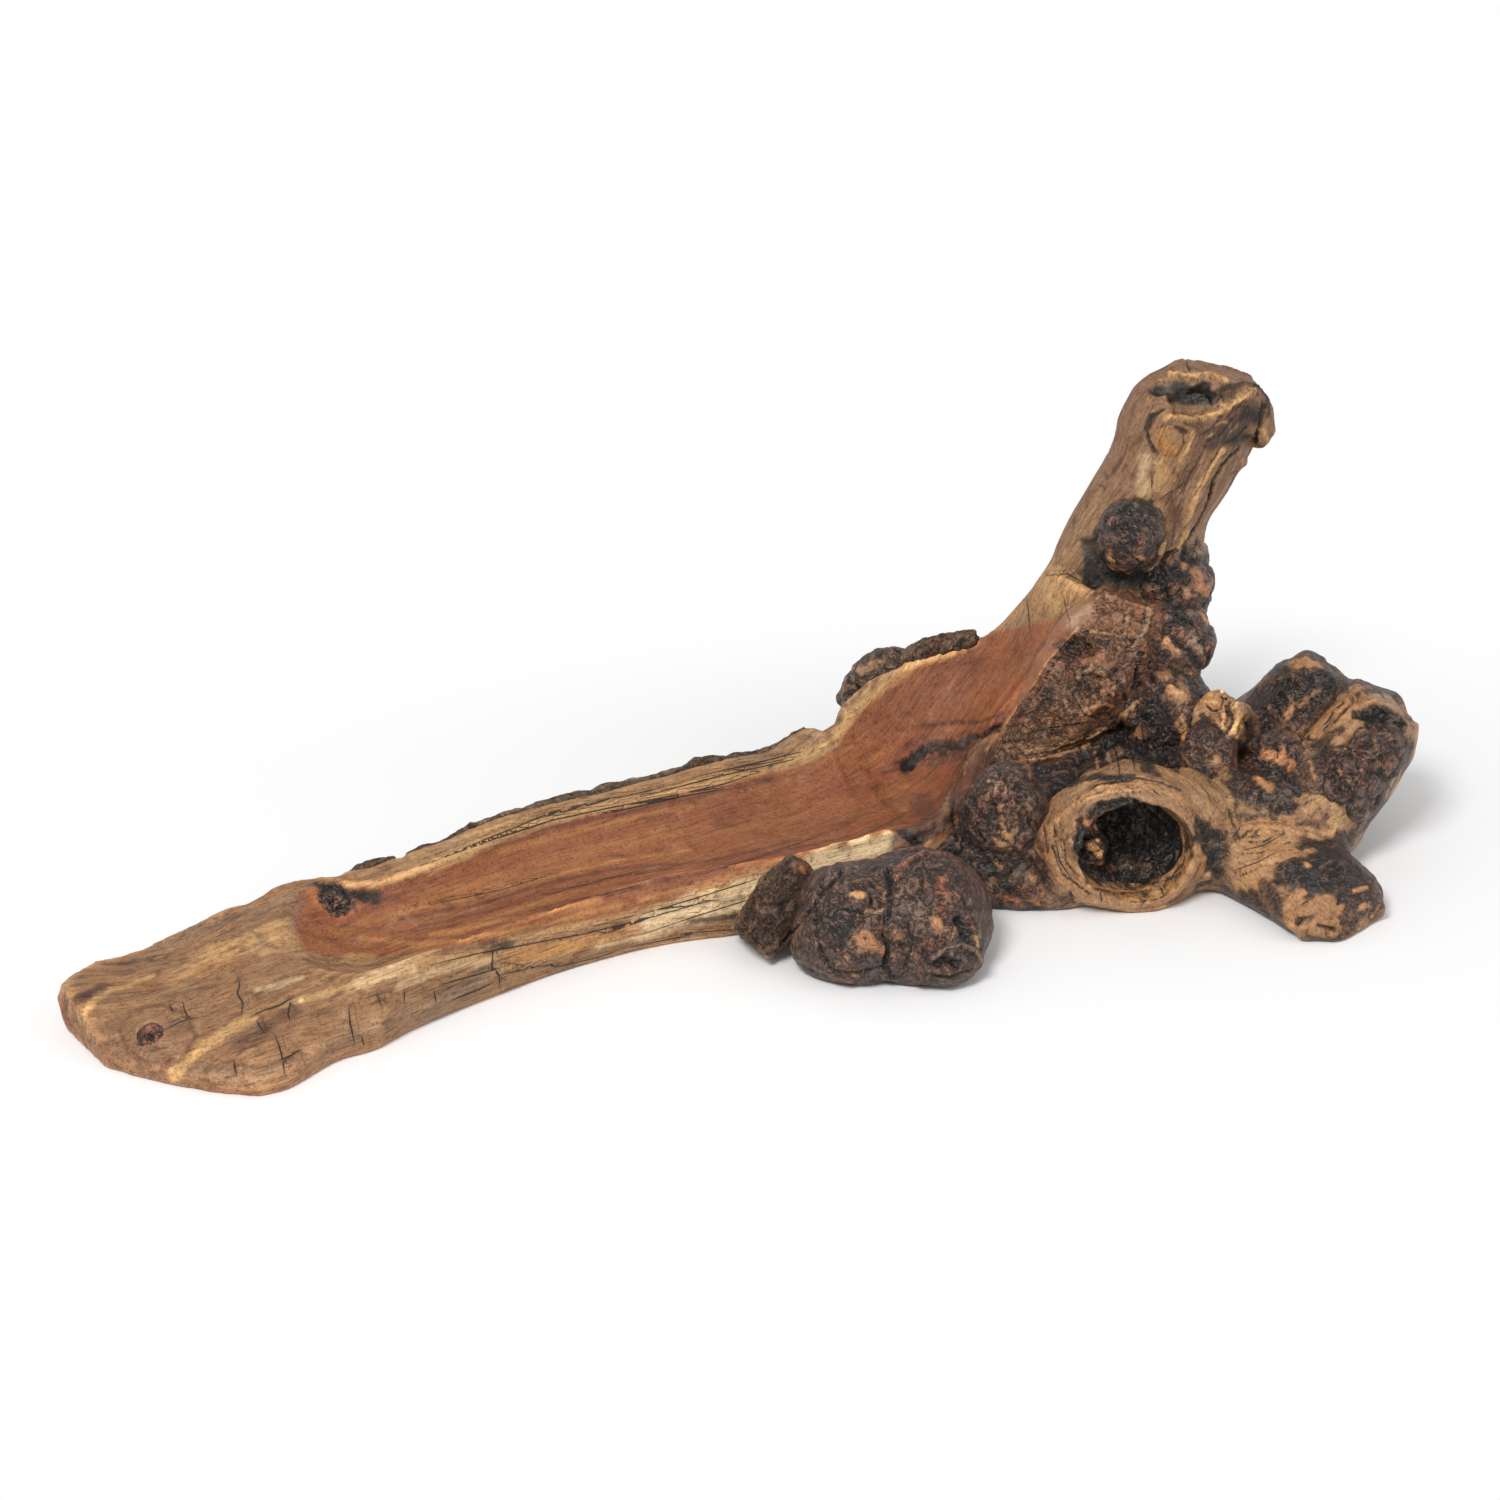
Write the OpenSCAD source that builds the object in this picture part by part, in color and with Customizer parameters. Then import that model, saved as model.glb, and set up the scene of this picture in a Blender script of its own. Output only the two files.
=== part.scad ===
// Incense burner made from one gnarled root.
// A half-round board with a carved trough catches the ash. The trough sweeps up into a raised stem,
// and the stick stands in a hole drilled in the sawn burl beside it, leaning over the trough.
// Limbs, burls, knots and bark are separate pieces, each seated on the wood that carries it.
// Tables of stations are in millimetres at the length of 468, measured from the middle of the trough.

/* [Overall] */
// Length over everything, from the board's tip to the side arm
overall_length = 468; // [360:12:600]

/* [Stick hole] */
// Diameter of the hole that holds the stick
stick_hole_d = 2.2; // [1.5:0.1:3.6]
// Depth of the stick hole below its dimple
stick_hole_depth = 14; // [8:1:16]
// Rise of the stick above the level
stick_rise = 22; // [14:1:30]
// Heading of the stick in plan, counted from +X towards +Y
stick_heading = 184; // [178:1:190]

/* [Trough] */
// Depth of the trough under its rims
trough_depth = 13; // [8:0.5:15]
// Bulge of the board's front side past its foot
side_bulge = 2.5; // [0:0.5:4]
// Thickness of the bark left on the rear rim
bark_thickness = 5; // [4:0.5:7]

/* [Growth] */
// Half width of the raised stem in the middle
stem_radius = 25; // [22:0.5:28]
// Radius of the larger lobe of the front burl
front_burl_radius = 25; // [22:0.5:27]
// How rough the burls are, as a part of their radius
roughness = 0.06; // [0.02:0.01:0.1]

/* [Hidden] */

drawn_length = 468;
size = overall_length / drawn_length;
// The same real sizes, as the tables measure them
drawn_trough_depth = trough_depth / size;
drawn_bulge = side_bulge / size;
drawn_bark = bark_thickness / size;
drawn_stem_radius = stem_radius / size;
drawn_burl_radius = front_burl_radius / size;
outline_middle = [5.75, -7.2];
ground = 0;
far = 600;

// Rings of the limbs and burls
limb_sides = 18;
burl_sides = 16;
burl_rings = 9;
hollow_sides = 16;

// ---- curves and skins ----
function pick(list, i) = list[max(0, min(len(list) - 1, i))];
function mix(a, b, t) = a + (b - a) * t;
function unit(v) = v / norm(v);

// A smooth curve through every row of a table, at u counted in rows.
function along(list, u) =
    let (i = max(0, min(floor(u), len(list) - 2)), t = u - i,
         a = pick(list, i - 1), b = pick(list, i), c = pick(list, i + 1), d = pick(list, i + 2))
    0.5 * (2 * b + (c - a) * t + (2 * a - 5 * b + 4 * c - d) * t * t
           + (3 * b - a - 3 * c + d) * t * t * t);

// Waves with no common period, between about -1 and 1.
function grain(a, b, seed) =
    0.5 * sin(a * 3 + seed * 71) * cos(b * 2 + seed * 37)
    + 0.3 * sin(a * 5 - b * 3 + seed * 113) + 0.2 * cos(a * 8 + b * 5 + seed * 19);

// A closed skin over rings of points, with one point that closes each end.
module skin(rings, first, last) {
    n = len(rings[0]);
    m = len(rings);
    polyhedron(
        points = concat([for (r = rings) each r], [first, last]),
        faces = concat(
            [for (i = [0:n - 1]) [m * n, (i + 1) % n, i]],
            [for (j = [0:m - 2], i = [0:n - 1]) each [
                [j * n + i, j * n + (i + 1) % n, (j + 1) * n + (i + 1) % n],
                [j * n + i, (j + 1) * n + (i + 1) % n, (j + 1) * n + i]]],
            [for (i = [0:n - 1]) [m * n + 1, (m - 1) * n + i, (m - 1) * n + (i + 1) % n]]));
}

// A limb: rows of [x, y, z, half width, half height], with grain waves on its radius.
function limb_ring(rows, u, seed, rough) =
    let (row = along(rows, u),
         ahead = along(rows, min(u + 0.05, len(rows) - 1)), behind = along(rows, max(u - 0.05, 0)),
         t = unit([for (k = [0:2]) ahead[k] - behind[k]]),
         side = unit(cross(t, [0, 0, 1])), top = cross(side, t))
    [for (i = [0:limb_sides - 1]) let (a = i * 360 / limb_sides, w = 1 + rough * grain(a, u * 70, seed))
        [row[0], row[1], row[2]] + side * row[3] * w * cos(a) + top * row[4] * w * sin(a)];
module limb(rows, steps, seed, rough = roughness) {
    last = len(rows) - 1;
    rings = [for (j = [0:steps]) limb_ring(rows, j * last / steps, seed, rough)];
    function middle(r) = [for (k = [0:2]) [for (p = r) 1] * [for (p = r) p[k]] / len(r)];
    skin(rings, middle(rings[0]), middle(rings[steps]));
}

// A burl: an egg with knobs, each [azimuth, elevation, height, width in degrees].
function knob_height(dir, knobs, i = 0) = i >= len(knobs) ? 0 :
    let (k = knobs[i], way = [cos(k[1]) * cos(k[0]), cos(k[1]) * sin(k[0]), sin(k[1])],
         apart = acos(max(-1, min(1, dir * way))) / k[3])
    k[2] * exp(-apart * apart) + knob_height(dir, knobs, i + 1);
function burl_point(radii, knobs, seed, az, el) =
    let (dir = [cos(el) * cos(az), cos(el) * sin(az), sin(el)],
         r = 1 + roughness * grain(az, el * 2, seed) * cos(el) + knob_height(dir, knobs))
    [dir[0] * radii[0] * r, dir[1] * radii[1] * r, dir[2] * radii[2] * r];
module burl(centre, radii, seed, knobs = []) {
    translate(centre)
        skin([for (j = [1:burl_rings]) let (el = -90 + j * 180 / (burl_rings + 1))
                 [for (i = [0:burl_sides - 1]) burl_point(radii, knobs, seed, -i * 360 / burl_sides, el)]],
             burl_point(radii, knobs, seed, 0, -90), burl_point(radii, knobs, seed, 0, 90));
}

// A rounded hollow left where a branch rotted out.
module hollow(at, radii, turn = [0, 0, 0])
    translate(at) rotate(turn) scale(radii) sphere(1, $fn = hollow_sides);

// Puts a sub-part drawn from the tables at its real size and place, cut flat where it stands.
module placed() {
    scale(size) translate([-outline_middle[0], -outline_middle[1], 0]) resize([0, 0, 0])
        intersection() {
            translate([-far, -far, ground]) cube([2 * far, 2 * far, far]);
            children();
        }
}
function place(p) = size * (p - [outline_middle[0], outline_middle[1], 0]);

// ---- trough board ----
// [front foot x, y, rear foot x, y, front rim height, its inset, rear rim height, its inset, depth share]
board_rows = [
    [-221, -24, -227,   6,  9,  4, 14,  3, 0],
    [-205, -42, -215,  15, 12, 20, 14,  3, 0],
    [-180, -60, -194,  19, 16, 30, 16,  3, 0],
    [-164, -55, -175,  20, 19, 30, 22,  4, 0],
    [-154, -49, -161,  22, 21, 28, 26, 14, 0.04],
    [-146, -47, -151,  25, 22, 19, 31, 11, 0.55],
    [-138, -46, -142,  25, 23, 12, 29,  9, 0.82],
    [-127, -40, -131,  23, 24,  7, 25,  8, 0.97],
    [-109, -33, -113,  25, 24,  4, 26,  8, 1],
    [ -89, -27,  -94,  29, 24,  3, 27,  8, 1],
    [ -71, -22,  -77,  35, 23,  3, 27,  8, 1],
    [ -54, -19,  -60,  40, 23,  4, 27,  8, 1],
    [ -36, -17,  -42,  43, 24,  4, 27,  8, 1],
    [ -19, -18,  -24,  45, 25,  4, 27,  8, 1],
    [   0, -21,   -5,  47, 26,  4, 27,  8, 1],
    [  18, -23,   14,  50, 27,  4, 28,  8, 1],
    [  36, -22,   34,  52, 28,  3, 27,  7, 1.05],
    [  58, -20,   58,  53, 29,  3, 36,  6, 1.08]];
board_steps = 34;
floor_points = 10;
// The middles of the board's two ends: distance from the front foot, and height
board_tip_end = [13, 6];
board_scoop_end = [36, 8];

// A point of a cross-section: d along the line from the front foot to the rear foot, and its height.
function on_row(row, d, z) =
    let (front = [row[0], row[1], 0], rear = [row[2], row[3], 0]) front + unit(rear - front) * d + [0, 0, z];
function board_ring(u) =
    let (row = along(board_rows, u), w = norm([row[2] - row[0], row[3] - row[1]]),
         hf = row[4], inf = row[5], hr = row[6], inr = row[7], dip = max(0, row[8]) * drawn_trough_depth,
         bulge = drawn_bulge * min(1, max(0, row[8])), edge = 1.2 * grain(u * 90, u * 31, 3))
    concat(
        [on_row(row, 0, 0), on_row(row, -bulge * 0.6, hf * 0.2), on_row(row, -bulge, hf * 0.42),
         on_row(row, inf * 0.25 - bulge * 0.5, hf * 0.7), on_row(row, inf * 0.6, hf * 0.9)],
        [for (k = [0:floor_points]) let (s = k / floor_points)
            on_row(row, mix(inf, w - inr, s), mix(hf, hr, s) - dip * pow(sin(180 * pow(s, 0.9)), 0.7)
                                              + 1.2 * sin(180 * s) * (1 - min(1, row[8])))],
        [on_row(row, w - inr * 0.35, hr + 0.6), on_row(row, w + edge, hr - 2),
         on_row(row, w + 1.5 + edge, hr * 0.6), on_row(row, w, hr * 0.3),
         on_row(row, w - 2, 0), on_row(row, w * 0.5, 0)]);
module board_shape() {
    rings = [for (j = [0:board_steps]) board_ring(j * (len(board_rows) - 1) / board_steps)];
    skin(rings, on_row(board_rows[0], board_tip_end[0], board_tip_end[1]),
         on_row(board_rows[len(board_rows) - 1], board_scoop_end[0], board_scoop_end[1]));
}
module trough_board() {
    color("peru") placed() difference() {
        board_shape();
        trough_end_knot_shape();
        tip_knot_shape();
    }
}

// ---- scoop: the trough's floor sweeping up to the stem ----
// [x, y, height of the floor, half width in front, half width behind, dip, tilt, rise of the rear wall]
scoop_rows = [
    [ 58, 16, 15, 36, 36, 14,  0, 7],
    [ 72, 19, 16, 36, 37, 14,  8, 11],
    [ 86, 25, 21, 33, 34, 12, 22, 13],
    [ 97, 31, 29, 23, 28,  9, 36, 12],
    [108, 34, 41, 18, 23,  5, 46, 8],
    [118, 35, 54, 18, 18,  2, 53, 1],
    [128, 36, 70, 18, 16, -3, 60, 0],
    [136, 36, 86, 18, 14, -5, 64, 0]];
scoop_steps = 14;
scoop_floor_points = 8;
scoop_depth = 40;
// How much thinner the wood under the floor gets as it rises, as a share for a quarter turn
scoop_taper = 0.2;
// The middles of the scoop's two ends, and of the ends of the air over it
scoop_low_end = [58, 16, 5];
scoop_high_end = [155, 36, 76];
air_low_end = [57, 16, 36];
air_high_end = [108, 36, 82];
function scoop_up(row) = [-sin(row[6]), 0, cos(row[6])];
function scoop_floor(row) =
    [for (k = [0:scoop_floor_points]) let (s = k / scoop_floor_points)
        [row[0], row[1] + mix(-row[3], row[4], s), row[2]]
            + scoop_up(row) * (row[5] * (1 - pow(sin(180 * pow(s, 0.9)), 0.7)) + row[7] * pow(s, 3))];
// The wood under the floor: each ring stands on the floor's tilted normal and reaches past the ground.
function scoop_ring(row) =
    let (up = scoop_up(row), c = [row[0], row[1], row[2]], wf = row[3], wr = row[4], dip = row[5],
         wall = dip + row[7], under = up * scoop_depth * (1 - scoop_taper * row[6] / 90))
    concat(
        scoop_floor(row),
        [c + [0, wr + 3, 0] + up * (wall - 5), c + [0, wr + 3, 0] - under * 0.4,
         c + [0, wr - 6, 0] - under, c + [0, -wf + 8, 0] - under,
         c + [0, -wf - 1, 0] - under * 0.4, c + [0, -wf - 2, 0] + up * (dip - 4)]);
// The air over the floor, which no other limb may fill, sunk a little into the floor.
function scoop_air_ring(row) =
    let (up = scoop_up(row), edge = scoop_floor(row), n = len(edge), top = up * scoop_depth)
    concat([for (k = [n - 1:-1:0]) edge[k] - up], [edge[0] + top, edge[n - 1] + top]);
module scoop_shape() {
    last = len(scoop_rows) - 1;
    skin([for (j = [0:scoop_steps]) scoop_ring(along(scoop_rows, j * last / scoop_steps))],
         scoop_low_end, scoop_high_end);
}
module scoop_air() {
    last = len(scoop_rows) - 2;
    skin([for (j = [0:scoop_steps]) scoop_air_ring(along(scoop_rows, j * last / scoop_steps))],
         air_low_end, air_high_end);
}
module scoop() {
    color("sienna") placed() difference() {
        scoop_shape();
        board_shape();
        stem_shape();
    }
}

// ---- root crown ----
// [x, y, z, half width, half height]
crown_rows = [
    [ 58,  12, 3, 20,  9],
    [ 75,   7, 6, 40, 19],
    [ 95,   6, 6, 49, 23],
    [115,   6, 6, 55, 27],
    [135,   4, 6, 56, 29],
    [155,   2, 6, 51, 33],
    [172,  -2, 6, 46, 34],
    [186,  -6, 6, 34, 27],
    [196,  -8, 6, 14, 12]];
module crown_shape() {
    limb(crown_rows, 14, 2);
}
module root_crown() {
    color("saddlebrown") placed() difference() {
        crown_shape();
        board_shape();
        scoop_shape();
        scoop_air();
        stem_shape();
        hollow_cut();
        hollow_eye_shape();
    }
}

// ---- raised stem ----
// [x, y, z, half depth, half width as a share of the driving radius]
stem_rows = [
    [142, 40,  36, 20, 1.00],
    [153, 40,  58, 21, 1.04],
    [164, 41,  82, 20, 1.04],
    [177, 42, 103, 19, 0.98],
    [187, 42, 121, 19, 1.00],
    [193, 43, 134, 17, 0.96],
    [197, 43, 146.5, 12, 0.60]];
beak_rows = [[190, 40, 129, 9, 11], [203, 36, 133, 9, 10], [209, 34, 131, 8, 8], [214, 32, 123, 4, 5]];
stem_hollow_at = [181, 25, 141];
stem_hollow_radii = [9, 9, 6];
stem_hollow_turn = [0, 25, 20];
module stem_shape() {
    limb([for (r = stem_rows) [r[0], r[1], r[2], r[3], r[4] * drawn_stem_radius]], 16, 4, roughness / 2);
    limb(beak_rows, 6, 6);
}
module raised_stem() {
    color("burlywood") placed() difference() {
        stem_shape();
        hollow(stem_hollow_at, stem_hollow_radii, stem_hollow_turn);
        stem_burl_shape();
    }
}

// ---- arms and foot ----
rear_arm_rows = [[179, -5, 21, 16, 14], [198, -8, 35, 15, 12], [212, -9, 47, 15, 12], [217, -10, 55, 9, 8]];
module rear_arm_shape() limb(rear_arm_rows, 8, 8);
module rear_arm() {
    color("dimgray") placed() difference() {
        rear_arm_shape();
        crown_shape();
    }
}

side_arm_rows = [
    [170, -32, 14, 20, 20],
    [190, -38, 17, 22, 20],
    [208, -36, 25, 20, 19],
    [222, -34, 40, 18, 17],
    [228, -35, 50, 14, 13]];
side_arm_hollow_at = [236, -35, 46];
side_arm_hollow_radii = [8, 8, 7];
module side_arm_shape() limb(side_arm_rows, 12, 9);
module side_arm() {
    color("tan") placed() difference() {
        side_arm_shape();
        crown_shape();
        rear_arm_shape();
        side_arm_burl_shape();
        hollow_boss_shape();
        hollow(side_arm_hollow_at, side_arm_hollow_radii);
    }
}

foot_rows = [[168, -44, 8, 18, 14], [175, -62, 8, 18, 13], [181, -80, 6, 20, 11], [182, -95, 3, 18, 7]];
module foot_shape() limb(foot_rows, 9, 10);
module foot_root() {
    color("peru") placed() difference() {
        foot_shape();
        crown_shape();
        side_arm_shape();
        hollow_boss_shape();
    }
}

// ---- burls and knots ----
// The sawn burl beside the scoop: [x, y, z, half width, half height] along its ridge
slab_rows = [
    [106, 13, 27,  9,  6],
    [119, 12, 37, 12, 12],
    [133, 11, 51, 14, 19],
    [145, 11, 68, 13, 19],
    [151, 11, 82,  8, 10]];
// The saw's flat face: the turn of its normal, and its distance from the middle of the ridge
slab_middle = [133, 11, 55];
slab_face_turn = [0, 64, -109];
slab_face_off = 11;
// The stick's hole starts at the floor of a dimple sunk in that face
stick_mouth = [138, 6, 66];
dimple_floor_r = 3.2;
dimple_r = 8;
dimple_length = 16;
bore_run_out = 1;
module ridge_slab_shape() limb(slab_rows, 10, 7);
// Lays +Z along the stick, with the origin at the mouth of its hole.
module along_stick() rotate([0, 90 - stick_rise, stick_heading]) children();
module ridge_slab() {
    color("saddlebrown") difference() {
        placed() difference() {
            ridge_slab_shape();
            scoop_shape();
            scoop_air();
            crown_shape();
            stem_shape();
            translate(slab_middle) rotate(slab_face_turn)
                translate([-far, -far, slab_face_off]) cube([2 * far, 2 * far, far]);
            translate(stick_mouth) along_stick()
                cylinder(r1 = dimple_floor_r, r2 = dimple_r, h = dimple_length, $fn = 12);
        }
        translate(place(stick_mouth)) along_stick()
            translate([0, 0, -stick_hole_depth])
                cylinder(d = stick_hole_d, h = stick_hole_depth + bore_run_out, $fn = 32);
    }
}

// Each burl below has its centre, its radii, and its knobs: [azimuth, elevation, height, width in degrees]
stem_burl_at = [157, 21, 100];
stem_burl_radii = [13, 11, 14];
stem_burl_knobs = [[-120, 10, 0.15, 40], [-60, 40, 0.12, 30]];
module stem_burl_shape() burl(stem_burl_at, stem_burl_radii, 1, stem_burl_knobs);
module stem_burl() {
    color("dimgray") placed() stem_burl_shape();
}

stem_base_burl_at = [175, 28, 78];
stem_base_burl_radii = [14, 16, 17];
stem_base_burl_knobs = [[-20, 20, 0.15, 35], [20, -20, 0.1, 30]];
module stem_base_burl_shape() burl(stem_base_burl_at, stem_base_burl_radii, 2, stem_base_burl_knobs);
module stem_base_burl() {
    color("saddlebrown") placed() difference() {
        stem_base_burl_shape();
        stem_shape();
        crown_shape();
    }
}

crown_burl_upper_at = [167, 12, 62];
crown_burl_upper_radii = [14, 14, 15];
crown_burl_upper_knobs = [[-60, 20, 0.14, 30], [0, 0, 0.16, 25]];
module crown_burl_upper_shape() burl(crown_burl_upper_at, crown_burl_upper_radii, 3, crown_burl_upper_knobs);
module crown_burl_upper() {
    color("saddlebrown") placed() difference() {
        crown_burl_upper_shape();
        stem_shape();
        crown_shape();
        stem_base_burl_shape();
        ridge_slab_shape();
        scoop_shape();
    }
}

crown_burl_lower_at = [160, -4, 45];
crown_burl_lower_radii = [14, 13, 14];
crown_burl_lower_knobs = [[-80, 30, 0.14, 30], [-20, 0, 0.12, 30]];
module crown_burl_lower_shape() burl(crown_burl_lower_at, crown_burl_lower_radii, 4, crown_burl_lower_knobs);
module crown_burl_lower() {
    color("sienna") placed() difference() {
        crown_burl_lower_shape();
        stem_shape();
        crown_shape();
        crown_burl_upper_shape();
        ridge_slab_shape();
        rear_arm_shape();
    }
}

mid_burl_at = [90, -23, 26];
mid_burl_radii = [14, 13, 20];
mid_burl_knobs = [[-90, 30, 0.12, 35], [-60, -10, 0.1, 30]];
module mid_burl_shape() burl(mid_burl_at, mid_burl_radii, 5, mid_burl_knobs);
module mid_burl() {
    color("saddlebrown") placed() difference() {
        mid_burl_shape();
        board_shape();
        scoop_shape();
        scoop_air();
        crown_shape();
        ridge_slab_shape();
    }
}

front_burl_right_at = [45, -54, 13];
front_burl_right_radii = [drawn_burl_radius, drawn_burl_radius, drawn_burl_radius];
front_burl_right_knobs = [[-60, 20, 0.1, 35], [-130, 0, 0.08, 30]];
module front_burl_right_shape() burl(front_burl_right_at, front_burl_right_radii, 6, front_burl_right_knobs);
module front_burl_right() {
    color("saddlebrown") placed() difference() {
        front_burl_right_shape();
        board_shape();
        scoop_shape();
        crown_shape();
        mid_burl_shape();
    }
}

front_burl_left_at = [24, -51, 14];
front_burl_left_radii = [19, 22, 21];
front_burl_left_knobs = [[-90, 30, 0.12, 30], [-80, -10, 0.12, 30]];
module front_burl_left_shape() burl(front_burl_left_at, front_burl_left_radii, 8, front_burl_left_knobs);
module front_burl_left() {
    color("sienna") placed() difference() {
        front_burl_left_shape();
        board_shape();
        front_burl_right_shape();
    }
}

bark_plate_rows = [[-6, -34, 5, 10, 6], [1, -33, 11, 11, 8], [8, -31, 20, 9, 8], [14, -31, 28, 6, 5]];
module front_bark_plate_shape() limb(bark_plate_rows, 7, 14);
module front_bark_plate() {
    color("saddlebrown") placed() difference() {
        front_bark_plate_shape();
        board_shape();
        front_burl_left_shape();
        front_burl_right_shape();
    }
}

// The petal sits on the foot of the larger lobe, sunk by this much of its own depth
petal_sunk = 4;
petal_offset = 2;
petal_height = 7;
petal_burl_at = [front_burl_right_at[0] + petal_offset,
                 front_burl_right_at[1] - drawn_burl_radius + petal_sunk, petal_height];
petal_burl_radii = [10, 7, 7];
petal_burl_knobs = [[-50, -10, 0.25, 25]];
module petal_burl_shape() burl(petal_burl_at, petal_burl_radii, 9, petal_burl_knobs);
module petal_burl() {
    color("saddlebrown") placed() difference() {
        petal_burl_shape();
        front_burl_right_shape();
    }
}

hollow_boss_at = [133, -38, 18];
hollow_boss_radii = [38, 22, 24];
module hollow_boss_shape() burl(hollow_boss_at, hollow_boss_radii, 13);
module hollow_boss() {
    color("burlywood") placed() difference() {
        hollow_boss_shape();
        crown_shape();
        mid_burl_shape();
        front_burl_right_shape();
        hollow_cut();
        hollow_eye_shape();
    }
}
hollow_cut_at = [124, -52, 23];
hollow_cut_radii = [17, 26, 13];
module hollow_cut() hollow(hollow_cut_at, hollow_cut_radii);
hollow_eye_at = [114, -39, 20];
hollow_eye_radii = [7, 7, 7];
module hollow_eye_shape() burl(hollow_eye_at, hollow_eye_radii, 14);
module hollow_eye() {
    color("sienna") placed() hollow_eye_shape();
}

twig_rows = [[183, -15, 35, 8, 8], [176, -20, 44, 9, 9], [169, -25, 52, 9, 9]];
module twig_stub() {
    color("burlywood") placed() difference() {
        limb(twig_rows, 4, 15, roughness / 2);
        smooth_knob_shape();
        crown_shape();
        crown_burl_lower_shape();
        rear_arm_shape();
        side_arm_shape();
    }
}
smooth_knob_at = [163, -28, 37];
smooth_knob_radii = [10, 10, 13];
module smooth_knob_shape() burl(smooth_knob_at, smooth_knob_radii, 16);
module smooth_knob() {
    color("saddlebrown") placed() difference() {
        smooth_knob_shape();
        crown_shape();
        crown_burl_lower_shape();
        hollow_boss_shape();
        side_arm_shape();
    }
}

side_arm_burl_at = [206, -49, 29];
side_arm_burl_radii = [11, 10, 12];
side_arm_burl_knobs = [[-90, 20, 0.14, 30]];
module side_arm_burl_shape() burl(side_arm_burl_at, side_arm_burl_radii, 17, side_arm_burl_knobs);
module side_arm_burl() {
    color("saddlebrown") placed() side_arm_burl_shape();
}
side_arm_eye_at = [220, -49, 43];
side_arm_eye_radii = [10, 9, 9];
side_arm_eye_knobs = [[-90, 20, 0.14, 30]];
module side_arm_eye_shape() burl(side_arm_eye_at, side_arm_eye_radii, 20, side_arm_eye_knobs);
module side_arm_eye() {
    color("saddlebrown") placed() difference() {
        side_arm_eye_shape();
        side_arm_shape();
        side_arm_burl_shape();
    }
}
arm_knob_at = [187, -33, 36];
arm_knob_radii = [9, 9, 9];
module arm_knob_shape() burl(arm_knob_at, arm_knob_radii, 18);
module arm_knob() {
    color("saddlebrown") placed() difference() {
        arm_knob_shape();
        crown_shape();
        side_arm_shape();
        rear_arm_shape();
    }
}

rear_hump_at = [87, 71, 29];
rear_hump_radii = [15, 11, 18];
rear_hump_knobs = [[150, 30, 0.12, 30], [40, 40, 0.1, 30]];
module rear_hump_shape() burl(rear_hump_at, rear_hump_radii, 19, rear_hump_knobs);
module rear_hump() {
    color("saddlebrown") placed() difference() {
        rear_hump_shape();
        crown_shape();
        scoop_shape();
        board_shape();
    }
}

trough_end_knot_at = [-134, 15, 18];
trough_end_knot_radii = [8, 6, 8];
module trough_end_knot_shape() burl(trough_end_knot_at, trough_end_knot_radii, 11);
module trough_end_knot() {
    color("black") placed() trough_end_knot_shape();
}
tip_knot_at = [-206, -28, 9.5];
tip_knot_radii = [3.4, 3.4, 5];
module tip_knot_shape() burl(tip_knot_at, tip_knot_radii, 12);
module tip_knot() {
    color("black") placed() tip_knot_shape();
}

// ---- bark left on the rear rim ----
// A strip of bark over a stretch of the board's rows, from u0 to u1, ragged along its top.
function bark_ring(u, fade, seed) =
    let (row = along(board_rows, u), w = norm([row[2] - row[0], row[3] - row[1]]), h = row[6],
         t = drawn_bark * fade * (1 + 0.18 * grain(u * 200, u * 90, seed)),
         top = h + fade * (0.9 + 1.1 * grain(u * 260, u * 120, seed + 1)))
    [on_row(row, w - 3, h - 1), on_row(row, w - 1.6, top), on_row(row, w + t * 0.5, top + 0.4),
     on_row(row, w + t * 0.95, top - 1.6), on_row(row, w + t * 1.15, h * 0.62), on_row(row, w + t, h * 0.35),
     on_row(row, w + t * 0.4, h * 0.15), on_row(row, w - 3, h * 0.12)];
module rim_bark(u0, u1, steps, seed) {
    rings = [for (j = [0:steps]) let (s = j / steps)
        bark_ring(mix(u0, u1, s), 0.55 + 0.45 * sin(180 * s), seed)];
    first = along(board_rows, u0);
    last = along(board_rows, u1);
    skin(rings, [first[2], first[3], first[6] * 0.6], [last[2], last[3], last[6] * 0.6]);
}
// Stretches of the board's rows that keep their bark
long_bark_rows = [8.5, 16.6];
short_bark_rows = [7.3, 8.3];
module rim_bark_long() {
    color("dimgray") placed() difference() {
        rim_bark(long_bark_rows[0], long_bark_rows[1], 26, 21);
        board_shape();
    }
}
module rim_bark_short() {
    color("dimgray") placed() difference() {
        rim_bark(short_bark_rows[0], short_bark_rows[1], 5, 22);
        board_shape();
    }
}
flap_rows = [[92, 62, 46, 4, 4], [99, 60, 50, 4, 5], [108, 56, 53, 4, 4], [114, 53, 55, 3, 3]];
module rim_bark_flap() {
    color("dimgray") placed() difference() {
        limb(flap_rows, 6, 23);
        scoop_shape();
        rear_hump_shape();
    }
}

trough_board();
scoop();
root_crown();
raised_stem();
ridge_slab();
stem_burl();
stem_base_burl();
crown_burl_upper();
crown_burl_lower();
mid_burl();
front_burl_left();
front_burl_right();
front_bark_plate();
petal_burl();
hollow_boss();
hollow_eye();
twig_stub();
smooth_knob();
rear_arm();
side_arm();
side_arm_burl();
side_arm_eye();
arm_knob();
foot_root();
rear_hump();
rim_bark_long();
rim_bark_short();
rim_bark_flap();
trough_end_knot();
tip_knot();
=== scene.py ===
"""Looks of the incense burner: one gnarled root with a carved trough, a raised stem and a crown of burls."""
import math

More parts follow.
